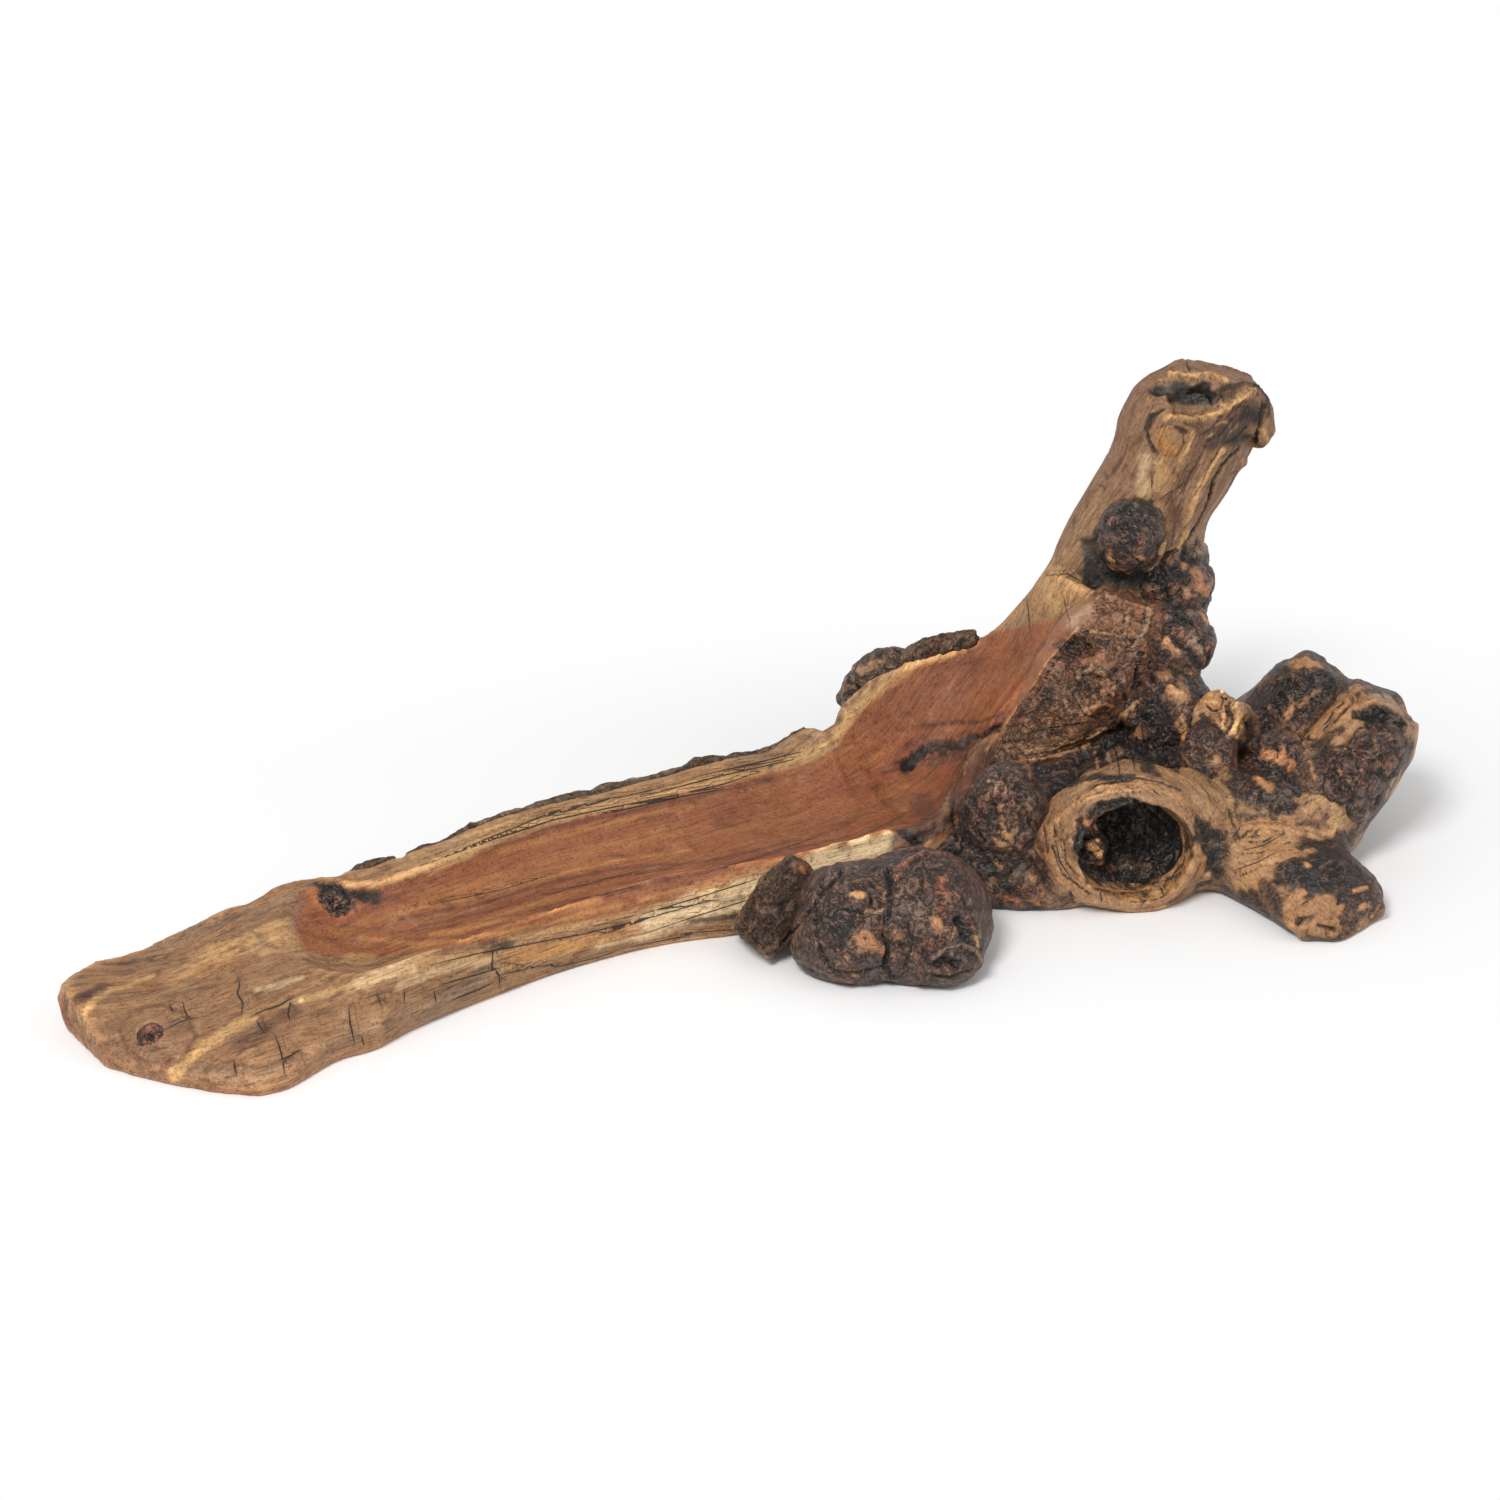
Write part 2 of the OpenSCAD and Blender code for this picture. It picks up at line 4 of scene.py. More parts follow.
import bmesh
import bpy
import numpy as np
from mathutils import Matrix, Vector
from mathutils.bvhtree import BVHTree


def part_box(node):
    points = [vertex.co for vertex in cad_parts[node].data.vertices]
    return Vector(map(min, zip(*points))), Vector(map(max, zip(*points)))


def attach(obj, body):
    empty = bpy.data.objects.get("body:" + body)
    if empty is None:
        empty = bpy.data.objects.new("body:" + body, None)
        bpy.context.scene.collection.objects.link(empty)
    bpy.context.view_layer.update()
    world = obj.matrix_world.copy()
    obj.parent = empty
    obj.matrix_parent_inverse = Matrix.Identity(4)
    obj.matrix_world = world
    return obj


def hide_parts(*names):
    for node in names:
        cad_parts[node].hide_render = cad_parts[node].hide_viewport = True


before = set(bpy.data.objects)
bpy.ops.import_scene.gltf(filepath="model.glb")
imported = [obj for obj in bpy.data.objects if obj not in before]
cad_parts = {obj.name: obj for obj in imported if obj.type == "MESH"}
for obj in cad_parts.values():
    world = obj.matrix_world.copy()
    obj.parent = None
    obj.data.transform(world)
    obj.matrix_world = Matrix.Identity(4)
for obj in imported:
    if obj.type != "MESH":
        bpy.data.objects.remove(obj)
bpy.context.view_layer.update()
MM = 0.001

# ---- camera ----
FRAME_PIXELS = 1500
HALF_FRAME = FRAME_PIXELS / 2
AZIMUTH, ELEVATION = math.radians(-22), math.radians(27)
DISTANCE, LENS, SENSOR, CLIP = 1500.0, 108.0, 36.0, (0.05, 30)
TARGET = np.array([7.25, 20.2, 50.0])
BACK = np.array([math.sin(AZIMUTH) * math.cos(ELEVATION), -math.cos(AZIMUTH) * math.cos(ELEVATION),
                 math.sin(ELEVATION)])
RIGHT = np.array([math.cos(AZIMUTH), math.sin(AZIMUTH), 0.0])
UP = np.cross(BACK, RIGHT)
AWAY = np.array([-math.sin(AZIMUTH), math.cos(AZIMUTH), 0.0])
EYE = TARGET + BACK * DISTANCE
FOCAL = FRAME_PIXELS * LENS / SENSOR
PIXELS_PER_MM = FOCAL / DISTANCE


def make_camera():
    data = bpy.data.cameras.new("camera")
    data.lens, data.sensor_width = LENS, SENSOR
    data.clip_start, data.clip_end = CLIP
    camera = bpy.data.objects.new("camera", data)
    bpy.context.scene.collection.objects.link(camera)
    camera.location = Vector(EYE * MM)
    camera.rotation_euler = Vector(-BACK).to_track_quat("-Z", "Y").to_euler()
    bpy.context.scene.camera = camera


make_camera()


# ---- colours, named for what they finish ----
def shade(code):
    srgb = np.array([int(code[i:i + 2], 16) / 255 for i in (0, 2, 4)])
    return np.where(srgb <= 0.04045, srgb / 12.92, ((srgb + 0.055) / 1.055) ** 2.4)


TAN, TAN_LIGHT, TAN_DARK = shade("a87d54"), shade("c79b69"), shade("7b583b")
STRAW, CREAM, GREY_BROWN = shade("d3a66c"), shade("efcfa0"), shade("8a6f57")
HEART, HEART_RED, HEART_DARK, HEART_GOLD = shade("9c6139"), shade("8f5030"), shade("683b27"), shade("c48a50")
ROSE, TIP_BROWN, STEM_BROWN = shade("a87a66"), shade("8d6446"), shade("977359")
# SOOT_AND_SHADE is near black: black wood, cracks and pits, and also painted shade in creases, hollows, joins
# between pieces and under the stem burl
UMBER, BARK, BARK_GREY, SOOT_AND_SHADE = shade("5c3c2c"), shade("483327"), shade("75604c"), shade("1d1917")
ARM_TAN, ARM_LIGHT = shade("bd8857"), shade("d09f6a")
ORANGE, EYE_TAN, RUST = shade("a06e45"), shade("bd8a5b"), shade("744a36")


# ---- noise over places in millimetres ----
PRIME_I, PRIME_J, PRIME_K, PRIME_SEED = 374761393, 668265263, 2147483647, 1274126177
BITS_32, BITS_24 = 0xFFFFFFFF, 0xFFFFFF


def hashed(i, j, k, seed):
    """A fixed number from 0 to 1 for each corner of a lattice."""
    h = (i * PRIME_I + j * PRIME_J + k * PRIME_K + seed * PRIME_SEED) & BITS_32
    h = ((h ^ (h >> 13)) * PRIME_SEED) & BITS_32
    return ((h ^ (h >> 16)) & BITS_24) / BITS_24


def noise(p, size, seed=0):
    """Smooth noise from -1 to 1, with lumps about `size` across (a number, or one per axis)."""
    q = p / np.asarray(size, float)
    low = np.floor(q).astype(np.int64)
    f = q - low
    f = f * f * (3 - 2 * f)
    total = np.zeros(len(p))
    for c in range(8):
        dx, dy, dz = c & 1, (c >> 1) & 1, (c >> 2) & 1
        weight = (f[:, 0] if dx else 1 - f[:, 0]) * (f[:, 1] if dy else 1 - f[:, 1])
        weight = weight * (f[:, 2] if dz else 1 - f[:, 2])
        total += weight * hashed(low[:, 0] + dx, low[:, 1] + dy, low[:, 2] + dz, seed)
    return total * 2 - 1


def fractal(p, size, octaves=3, seed=0):
    total, weight = np.zeros(len(p)), 0.0
    for o in range(octaves):
        total += noise(p, np.asarray(size, float) / 2 ** o, seed + o * 17) / 2 ** o
        weight += 1 / 2 ** o
    return total / weight


def cells(p, size, seed=0):
    """Distances to the nearest two of a scatter of points, in cell sizes, and the nearest one's number."""
    q = p / np.asarray(size, float)
    low = np.floor(q).astype(np.int64)
    near, second, name = np.full(len(p), 9.0), np.full(len(p), 9.0), np.zeros(len(p))
    for dx in (-1, 0, 1):
        for dy in (-1, 0, 1):
            for dz in (-1, 0, 1):
                c = low + (dx, dy, dz)
                spot = c + np.stack([hashed(c[:, 0], c[:, 1], c[:, 2], seed + s) for s in (0, 5, 11)], 1)
                d = np.linalg.norm(q - spot, axis=1)
                second = np.minimum(second, np.maximum(near, d))
                name = np.where(d < near, hashed(c[:, 0], c[:, 1], c[:, 2], seed + 23), name)
                near = np.minimum(near, d)
    return near, second, name


def ramp(x, low, high):
    t = np.clip((x - low) / (high - low), 0, 1)
    return t * t * (3 - 2 * t)


def blend(a, b, t):
    return a + (b - a) * np.asarray(t)[:, None]


# heights in millimetres over which a move fades in, so that what stands on the table stays flat
STAND_PUSH, STAND_CARVE, STAND_NUDGE = (0.4, 4.0), (0.3, 3.0), (0.5, 6.0)


# ---- a piece while it is carved and painted ----
class Skin:
    """Places and normals in millimetres, and the painted values, of one piece's points."""

    def __init__(self, obj, nodes, slot, material):
        self.obj, self.nodes, self.slot, self.material = obj, nodes, slot, material
        mesh = obj.data
        count = len(mesh.vertices)
        edges = np.zeros(len(mesh.edges) * 2, np.int64)
        mesh.edges.foreach_get("vertices", edges)
        self.edges = edges.reshape(-1, 2)
        self.degree = np.maximum(np.bincount(self.edges.ravel(), minlength=count), 1)
        self.place = np.zeros(count * 3)
        mesh.vertices.foreach_get("co", self.place)
        self.place = self.place.reshape(-1, 3) / MM
        self.faces = [tuple(p.vertices) for p in mesh.polygons]
        self.tone = np.tile(TAN, (count, 1))
        self.gloss, self.near, self.bare = np.zeros(count), np.zeros(count), np.zeros(count)
        self.crack, self.crack_here = np.full(count, 9.0), np.zeros(count)
        self.grain = self.place.copy()
        self.refresh()

    def refresh(self):
        mesh = self.obj.data
        mesh.vertices.foreach_set("co", (self.place * MM).ravel())
        mesh.update()
        normal = np.zeros(len(mesh.vertices) * 3)
        mesh.vertices.foreach_get("normal", normal)
        self.normal = normal.reshape(-1, 3)

    def tree(self):
        self.refresh()
        return BVHTree.FromPolygons([Vector(p) for p in (self.place * MM).tolist()], self.faces)

    def averaged(self, values, times=1):
        a, b = self.edges[:, 0], self.edges[:, 1]
        flat = values.reshape(len(values), -1)
        for _ in range(times):
            total = np.stack([np.bincount(a, column[b], len(flat)) + np.bincount(b, column[a], len(flat))
                              for column in flat.T], 1)
            flat = flat * 0.4 + total / self.degree[:, None] * 0.6
        return flat.reshape(values.shape)

    def smooth(self, times):
        self.place = self.averaged(self.place, times)
        self.refresh()

    def push(self, amount):
        """Moves the points along their normals, but keeps what stands on the table flat."""
        amount = amount * ramp(self.place[:, 2], *STAND_PUSH)
        self.place = self.place + self.normal * amount[:, None]
        self.place[:, 2] = np.maximum(self.place[:, 2], 0.0)

    def paint(self, colour, weight):
        self.tone = blend(self.tone, colour, np.clip(weight, 0, 1))

    def done(self):
        mesh = self.obj.data
        self.refresh()
        tone = mesh.attributes.new("tone", "FLOAT_COLOR", "POINT")
        tone.data.foreach_set("color", np.c_[self.tone, np.ones(len(self.tone))].ravel())
        grain = mesh.attributes.new("grain", "FLOAT_VECTOR", "POINT")
        grain.data.foreach_set("vector", (self.grain / 10).ravel())
        for name, values, most in (("gloss", self.gloss, 1), ("crack", self.crack, 30),
                                   ("crack_here", self.crack_here, 1), ("bare", self.bare, 1)):
            spread = mesh.attributes.new(name, "FLOAT", "POINT").data
            spread.foreach_set("value", np.clip(values, -most, most))
        mesh.polygons.foreach_set("use_smooth", np.ones(len(mesh.polygons), bool))
        mesh.materials.clear()
        mesh.materials.append(MATERIALS[self.material])
        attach(self.obj, "root")
        if self.nodes:
            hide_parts(*self.nodes)


def new_object(name, bm):
    mesh = bpy.data.meshes.new(name)
    bm.to_mesh(mesh)
    bm.free()
    obj = bpy.data.objects.new(name, mesh)
    bpy.context.scene.collection.objects.link(obj)
    return obj


def remeshed(name, nodes, voxel, fill=0.0):
    """One closed skin over copies of CAD nodes; creases narrower than twice `fill` are closed."""
    bm = bmesh.new()
    for node in nodes:
        part = bmesh.new()
        part.from_mesh(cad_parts[node].data)
        bmesh.ops.remove_doubles(part, verts=part.verts, dist=1e-5)
        copy = bpy.data.meshes.new("copy")
        part.to_mesh(copy)
        part.free()
        bm.from_mesh(copy)
        bpy.data.meshes.remove(copy)
    obj = new_object(name + "_rough", bm)
    for swell in ((fill, -fill) if fill else (0.0,)):
        mod = obj.modifiers.new("remesh", "REMESH")
        mod.mode, mod.voxel_size = "VOXEL", voxel * MM
        if swell:
            mod = obj.modifiers.new("swell", "DISPLACE")
            mod.strength, mod.mid_level, mod.direction = swell * MM, 0.0, "NORMAL"
    mesh = bpy.data.meshes.new_from_object(obj.evaluated_get(bpy.context.evaluated_depsgraph_get()))
    mesh.name = name
    skin = bpy.data.objects.new(name + "_skin", mesh)
    bpy.context.scene.collection.objects.link(skin)
    bpy.data.objects.remove(obj)
    return skin


def split_finer(obj, low, high):
    """Splits the front faces between two corners once more, so that finer marks can be carved there."""
    bm = bmesh.new()
    bm.from_mesh(obj.data)
    front = Vector(BACK)
    near = [v.normal.dot(front) > -0.1 and all(low[k] < v.co[k] / MM < high[k] for k in range(3))
            for v in bm.verts]
    bm.verts.index_update()
    edges = [e for e in bm.edges if near[e.verts[0].index] and near[e.verts[1].index]]
    bmesh.ops.subdivide_edges(bm, edges=edges, cuts=1, use_grid_fill=True)
    bm.to_mesh(obj.data)
    bm.free()
    return obj


def ball(name, centre, radii, level=5):
    bm = bmesh.new()
    bmesh.ops.create_icosphere(bm, subdivisions=level, radius=1)
    bmesh.ops.scale(bm, vec=Vector(radii) * MM, verts=bm.verts)
    bmesh.ops.translate(bm, vec=Vector(centre) * MM, verts=bm.verts)
    return new_object(name + "_skin", bm)


# ---- sight lines ----
# millimetres: the widest step of a line from one surface to another, how deep a nudge takes hold and
# fades, and how far a crack reaches from its line
LINE_JUMP, NUDGE_DEPTH, CRACK_BOX, CRACK_REACH = 30, (30, 45), 5, 3.0


def project(p):
    """Where places in millimetres are seen, in frame pixels from the top left."""
    away = p - EYE
    depth = -(away @ BACK)
    u, v = FOCAL * (away @ RIGHT) / depth, FOCAL * (away @ UP) / depth
    return np.stack([HALF_FRAME + u, HALF_FRAME - v], 1)


def facing(skin):
    """1 where the skin faces the camera, 0 where it is seen edge on, and less on its back."""
    way = EYE - skin.place
    return (skin.normal * way).sum(1) / np.linalg.norm(way, axis=1)


def inside(uv, corners):
    """Distance in pixels into an outline; negative outside it."""
    corners = np.array(corners, float)
    away, odd = np.full(len(uv), 1e9), np.zeros(len(uv), bool)
    for a, b in zip(corners, np.roll(corners, -1, axis=0)):
        side = b - a
        t = np.clip(((uv - a) @ side) / (side @ side), 0, 1)
        away = np.minimum(away, np.linalg.norm(uv - a - t[:, None] * side, axis=1))
        crosses = (a[1] > uv[:, 1]) != (b[1] > uv[:, 1])
        if a[1] != b[1]:
            odd ^= crosses & (uv[:, 0] < (b[0] - a[0]) * (uv[:, 1] - a[1]) / (b[1] - a[1]) + a[0])
    return np.where(odd, away, -away)


class Sight:
    """Finds the place on the carved skins where a line of sight lands."""

    def __init__(self, skins):
        self.renew(skins)

    def renew(self, skins):
        self.trees = [s.tree() for s in skins.values()]

    def land(self, u, v):
        way = -BACK + RIGHT * (u - HALF_FRAME) / FOCAL + UP * (HALF_FRAME - v) / FOCAL
        way = Vector(way / np.linalg.norm(way))
        hits = [t.ray_cast(Vector(EYE * MM), way) for t in self.trees]
        hits = [h for h in hits if h[0] is not None]
        if not hits:
            return None
        return np.array(min(hits, key=lambda h: h[3])[0]) / MM

    def line(self, corners, step=5.0):
        """Places under a line drawn across the view, and the frame pixels that they are seen at."""
        places, points = [], []
        for (u0, v0), (u1, v1) in zip(corners, corners[1:] or corners):
            count = max(1, int(math.hypot(u1 - u0, v1 - v0) / step))
            for i in range(count + 1):
                point = (u0 + (u1 - u0) * i / count, v0 + (v1 - v0) * i / count)
                at = self.land(*point)
                if at is not None and (not places or np.linalg.norm(at - places[-1]) < LINE_JUMP):
                    places.append(at)
                    points.append(point)
        return np.array(places), np.array(points)


def reach(skin, places, radius, warp, seed):
    """Indices of the points near a line, and their distance from it as a share of the radius."""
    low, high = places.min(0) - radius * 2, places.max(0) + radius * 2
    index = np.nonzero(np.all((skin.place > low) & (skin.place < high), axis=1))[0]
    if not len(index):
        return index, np.zeros(0)
    p = skin.place[index]
    away = np.full(len(p), 1e9)
    starts, ends = (places[:-1], places[1:]) if len(places) > 1 else (places, places)
    for a, b in zip(starts, ends):
        side = b - a
        t = np.clip(((p - a) @ side) / max(side @ side, 1e-9), 0, 1)
        away = np.minimum(away, np.linalg.norm(p - a - t[:, None] * side, axis=1))
    away = away / radius + warp * fractal(p, max(radius * 0.9, 1.5), 2, seed)
    keep = away < 1.6
    return index[keep], np.maximum(away[keep], 0)


def stroke(corners, width, tone, strength=1.0, depth=0.0, gloss=None, warp=0.35, edge=0.45, only=None):
    """Carves and paints under a line drawn across the view. width is in frame pixels; depth is in
    millimetres, and a negative one cuts in."""
    stroke.count += 1
    radius = width / 2 / PIXELS_PER_MM
    places, _ = sight.line(corners)
    if not len(places):
        return
    for name, skin in skins.items():
        if only and name not in only:
            continue
        index, away = reach(skin, places, radius, warp, stroke.count)
        if not len(index):
            continue
        weight = 1 - ramp(away, 1 - edge, 1 + edge * 0.5)
        if depth:
            hill = ramp(1 - away, 0, 1)
            move = hill * depth * ramp(skin.place[index, 2], *STAND_CARVE)
            skin.place[index] += skin.normal[index] * move[:, None]
        skin.tone[index] = blend(skin.tone[index], tone, weight * strength)
        if gloss is not None:
            skin.gloss[index] += (gloss - skin.gloss[index]) * weight


stroke.count = 0


def strokes(rows, **same):
    """One stroke for each row of a table. A row ends with a dict of what it alone has, if anything."""
    for row in rows:
        own = row[-1] if isinstance(row[-1], dict) else {}
        stroke(*row[:len(row) - bool(own)], **{**same, **own})


def plane(skin, outline, tone, gloss, soften=1.5, times=25):
    """Smooths the part of a skin inside an outline and gives it one tone, as bare carved wood."""
    share = ramp(inside(project(skin.place), outline), -soften, soften) * (facing(skin) > 0)
    skin.place = blend(skin.place, skin.averaged(skin.place, times), share)
    skin.paint(tone, share)
    skin.gloss = skin.gloss + (gloss - skin.gloss) * share
    skin.bare = np.maximum(skin.bare, share)


def nudge(u, v, width, right, up, only=None):
    """Moves what is seen near one point by so many pixels. What stands on the table slides along it."""
    at = sight.land(u, v)
    depth = None if at is None else -(at - EYE) @ BACK
    for name, skin in skins.items():
        if only and name not in only:
            continue
        weight = ramp(1 - np.linalg.norm(project(skin.place) - (u, v), axis=1) / width, 0, 1)
        if depth is not None:
            weight *= 1 - ramp(np.abs(-(skin.place - EYE) @ BACK - depth), *NUDGE_DEPTH)
        raised = ramp(skin.place[:, 2], *STAND_NUDGE)[:, None]
        rise = UP * raised + AWAY / math.sin(ELEVATION) * (1 - raised)
        skin.place = skin.place + weight[:, None] * (RIGHT * right + rise * up) / PIXELS_PER_MM
        skin.place[:, 2] = np.maximum(skin.place[:, 2], 0)


def crack(corners, width=1.4, halo=0.25):
    """A fine dark line. Its signed distance is stored, so that the material draws it finer than the mesh."""
    places, points = sight.line(corners)
    if len(places) < 2:
        return
    half = width / 2 / PIXELS_PER_MM
    for skin in skins.values():
        low, high = places.min(0) - CRACK_BOX, places.max(0) + CRACK_BOX
        index = np.nonzero(np.all((skin.place > low) & (skin.place < high), axis=1))[0]
        if not len(index):
            continue
        p, uv = skin.place[index], project(skin.place[index])
        best, across, taper = np.full(len(p), 1e9), np.zeros(len(p)), np.zeros(len(p))
        for k in range(len(points) - 1):
            side, flat = places[k + 1] - places[k], points[k + 1] - points[k]
            t = ((p - places[k]) @ side) / max(side @ side, 1e-9)
            away = np.linalg.norm(p - places[k] - np.clip(t, 0, 1)[:, None] * side, axis=1)
            turn = flat[0] * (uv[:, 1] - points[k][1]) - flat[1] * (uv[:, 0] - points[k][0])
            near = away < best
            best = np.where(near, away, best)
            across = np.where(near, np.sign(turn) * away, across)
            taper = np.where(near, 1 - abs(2 * (k + np.clip(t, 0, 1)) / (len(points) - 1) - 1) ** 3, taper)
        here = best < CRACK_REACH
        index, across, best, taper = index[here], across[here], best[here], taper[here]
        better = best / half < np.abs(skin.crack[index]) * 1.001
        index, across, best, taper = index[better], across[better], best[better], taper[better]
        skin.crack[index] = across / (half * (0.25 + 0.75 * taper))
        skin.crack_here[index] = 1 - ramp(best, 1.2, 2.6)
        skin.tone[index] = blend(skin.tone[index], UMBER, (1 - ramp(best, half, half + 1.2)) * halo)


def cracks(lines, width=1.4, halo=0.25):
    for line in lines:
        crack(line, width, halo)


# ---- the shapes ----
LIMBS = ["trough_board", "scoop", "raised_stem"]
ROOTS = ["root_crown", "hollow_boss", "side_arm", "foot_root", "rear_arm"]
OWN_REACH = 0.004


def owners(skin, nodes):
    """How much each point belongs to each CAD node, softened over the joins."""
    best, owner = np.full(len(skin.place), 1e9), np.zeros(len(skin.place), int)
    for index, node in enumerate(nodes):
        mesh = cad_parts[node].data
        tree = BVHTree.FromPolygons([v.co for v in mesh.vertices], [p.vertices for p in mesh.polygons])
        low, high = (np.array(corner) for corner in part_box(node))
        near = np.all((skin.place * MM > low - OWN_REACH) & (skin.place * MM < high + OWN_REACH), axis=1)
        for i in np.nonzero(near)[0]:
            d = tree.find_nearest(Vector(skin.place[i] * MM))[3]
            if d is not None and d < best[i]:
                best[i], owner[i] = d, index
    return {node: skin.averaged((owner == k).astype(float), 6) for k, node in enumerate(nodes)}


GRAIN_STEP, GRAIN_SIDE, GRAIN_BLOCK = 3.0, [0, -0.9, 0.2], 4000


def follow(skin, guide, near=None):
    """Runs the grain along a guide: the distance along it, and the two offsets from it."""
    guide = np.array(guide, float)
    step = np.linalg.norm(np.diff(guide, axis=0), axis=1)
    run = np.r_[0, np.cumsum(step)]
    at = np.arange(0, run[-1], GRAIN_STEP)
    line = np.stack([np.interp(at, run, guide[:, k]) for k in range(3)], 1)
    for _ in range(6):
        line[1:-1] = (line[:-2] + line[1:-1] * 2 + line[2:]) / 4
    ahead = np.gradient(line, axis=0)
    ahead /= np.linalg.norm(ahead, axis=1)[:, None]
    side = np.cross(ahead, GRAIN_SIDE)
    side /= np.linalg.norm(side, axis=1)[:, None]
    top = np.cross(side, ahead)
    index = np.arange(len(skin.place)) if near is None else np.nonzero(near)[0]
    for block in np.array_split(index, max(1, len(index) // GRAIN_BLOCK)):
        p = skin.place[block]
        gap = p[:, None, :] - line[None]
        k = (gap ** 2).sum(2).argmin(1)
        off = p - line[k]
        along = at[k] + (off * ahead[k]).sum(1)
        skin.grain[block] = np.stack([along, (off * side[k]).sum(1), (off * top[k]).sum(1)], 1)


# the box round the top of the stem, where its mesh is finer
STEM_LOW, STEM_HIGH = (135, -99, 82), (300, 99, 200)
limbs = split_finer(remeshed("trough_and_stem", LIMBS, voxel=1.2), STEM_LOW, STEM_HIGH)
limbs = Skin(limbs, LIMBS, "heartwood", "trunk_wood")
roots = remeshed("root_crown_and_arms", ROOTS, voxel=0.9, fill=3.0)
roots = Skin(roots, ROOTS, "crown_wood", "root_wood")
LIMB_ZONE, ROOT_ZONE = owners(limbs, LIMBS), owners(roots, ROOTS)
limbs.smooth(4)
roots.smooth(3)


def ease(skin, zone, times):
    """Smooths the skin over the joins of one zone with the rest."""
    zone = skin.averaged(zone, times // 2)
    share = ramp(4 * zone * (1 - zone), 0.1, 0.8)
    skin.place = blend(skin.place, skin.averaged(skin.place, times), share)
    skin.refresh()


ease(limbs, LIMB_ZONE["trough_board"], times=140)
ease(limbs, LIMB_ZONE["raised_stem"], times=50)
# the back of the scoop and of the stem's foot is worn smooth, from HEM_START along and up to HEM_TOP
HEM_START, HEM_TOP = (80, 100), (95, 115)
hem = np.clip(LIMB_ZONE["raised_stem"] + LIMB_ZONE["scoop"], 0, 1) * (facing(limbs) < -0.05)
hem = hem * ramp(limbs.place[:, 0], *HEM_START)
hem = limbs.averaged(hem * (1 - ramp(limbs.place[:, 2], *HEM_TOP)), 10)
limbs.place = blend(limbs.place, limbs.averaged(limbs.place, 90), hem)
limbs.refresh()
ease(roots, ROOT_ZONE["foot_root"], times=30)
ease(roots, ROOT_ZONE["side_arm"], times=30)
worn_round = ROOT_ZONE["foot_root"] + ROOT_ZONE["side_arm"] * 0.6 + ROOT_ZONE["rear_arm"] * 0.6
roots.place = blend(roots.place, roots.averaged(roots.place, 22), np.clip(worn_round, 0, 1))
roots.refresh()

# lines that the grain runs along
MAIN_GUIDE = [(-236, -12, 10), (-190, -20, 10), (-140, -12, 12), (-60, 10, 12), (0, 18, 12), (52, 23, 15),
              (80, 32, 21), (102, 41, 41), (130, 44, 66), (152, 47, 85), (170, 49, 105), (186, 50, 135),
              (193, 50, 152)]
SIDE_GUIDE = [(120, -20, 10), (164, -25, 14), (184, -31, 17), (202, -29, 25), (217, -24, 37), (228, -21, 46)]
FOOT_GUIDE = [(158, -20, 12), (162, -37, 8), (171, -55, 8), (180, -73, 6), (186, -88, 3)]
BOSS_GUIDE = [(96, -52, 4), (84, -30, 18), (100, -10, 34), (128, -22, 32), (138, -44, 16), (150, -60, 5)]

# each burl's centre and radii
BURLS = {
    "stem_burl": ([151.0, 29.5, 100], [11.5, 10, 12.5]),
    "stem_base_burl": ([169.25, 35.2, 78], [14, 16, 17]),
    "crown_burl_upper": ([161.25, 19.2, 62], [15, 15, 16]),
    "crown_burl_lower": ([154.25, 3.2, 45], [15, 14, 15]),
    "mid_burl": ([84.25, -15.8, 26], [14, 13, 20]),
    "front_burl_right": ([39.25, -46.8, 13], [24.5, 24.5, 24.5]),
    "front_burl_left": ([18.25, -43.8, 14], [18.5, 21.5, 20.5]),
    "petal_burl": ([41.25, -67.8, 7], [10, 7, 7]),
    "hollow_eye": ([108.25, -31.8, 20], [7, 7, 7]),
    "smooth_knob": ([157.25, -20.8, 37], [10, 10, 13]),
    "side_arm_burl": ([200.25, -41.8, 29], [11, 10, 12]),
    "side_arm_eye": ([210.5, -42, 39.5], [9.5, 8.5, 8.5]),
    "arm_knob": ([181.25, -25.8, 36], [9, 9, 9]),
    "rear_hump": ([81.25, 78.2, 29], [15, 11, 18]),
    "trough_end_knot": ([-139.75, 22.2, 18], [8, 6, 8]),
    "tip_knot": ([-211.75, -20.8, 9.5], [3.4, 3.4, 5]),
}
SLOTS = {"stem_burl": "char", "trough_end_knot": "char", "tip_knot": "char", "rear_hump": "bark",
         "front_burl_left": "bark", "front_burl_right": "bark", "petal_burl": "bark"}
KNOBBY = {"smooth_knob": 0.25, "tip_knot": 0.1, "rear_hump": 1.0, "petal_burl": 0.3, "front_burl_left": 0.3,
          "front_burl_right": 0.3, "mid_burl": 0.7, "stem_burl": 0.9, "trough_end_knot": 0.8}
skins = {"trough_and_stem": limbs, "root_crown_and_arms": roots}
for name, (centre, radii) in BURLS.items():
    level = 4 if max(radii) < 6 else 6 if max(radii) > 17 else 5
    skins[name] = Skin(ball(name, centre, radii, level), [name], SLOTS.get(name, "burl"), "burl_wood")
for name, voxel, slot, material in (
        ("ridge_slab", 0.5, "burl", "burl_wood"), ("twig_stub", 0.5, "cut_end", "root_wood"),
        ("front_bark_plate", 0.6, "bark", "bark"), ("rim_bark_long", 0.6, "bark", "bark"),
        ("rim_bark_short", 0.5, "bark", "bark"), ("rim_bark_flap", 0.5, "bark", "bark")):
    skins[name] = Skin(remeshed(name, [name], voxel), [name], slot, material)
    skins[name].smooth(3)


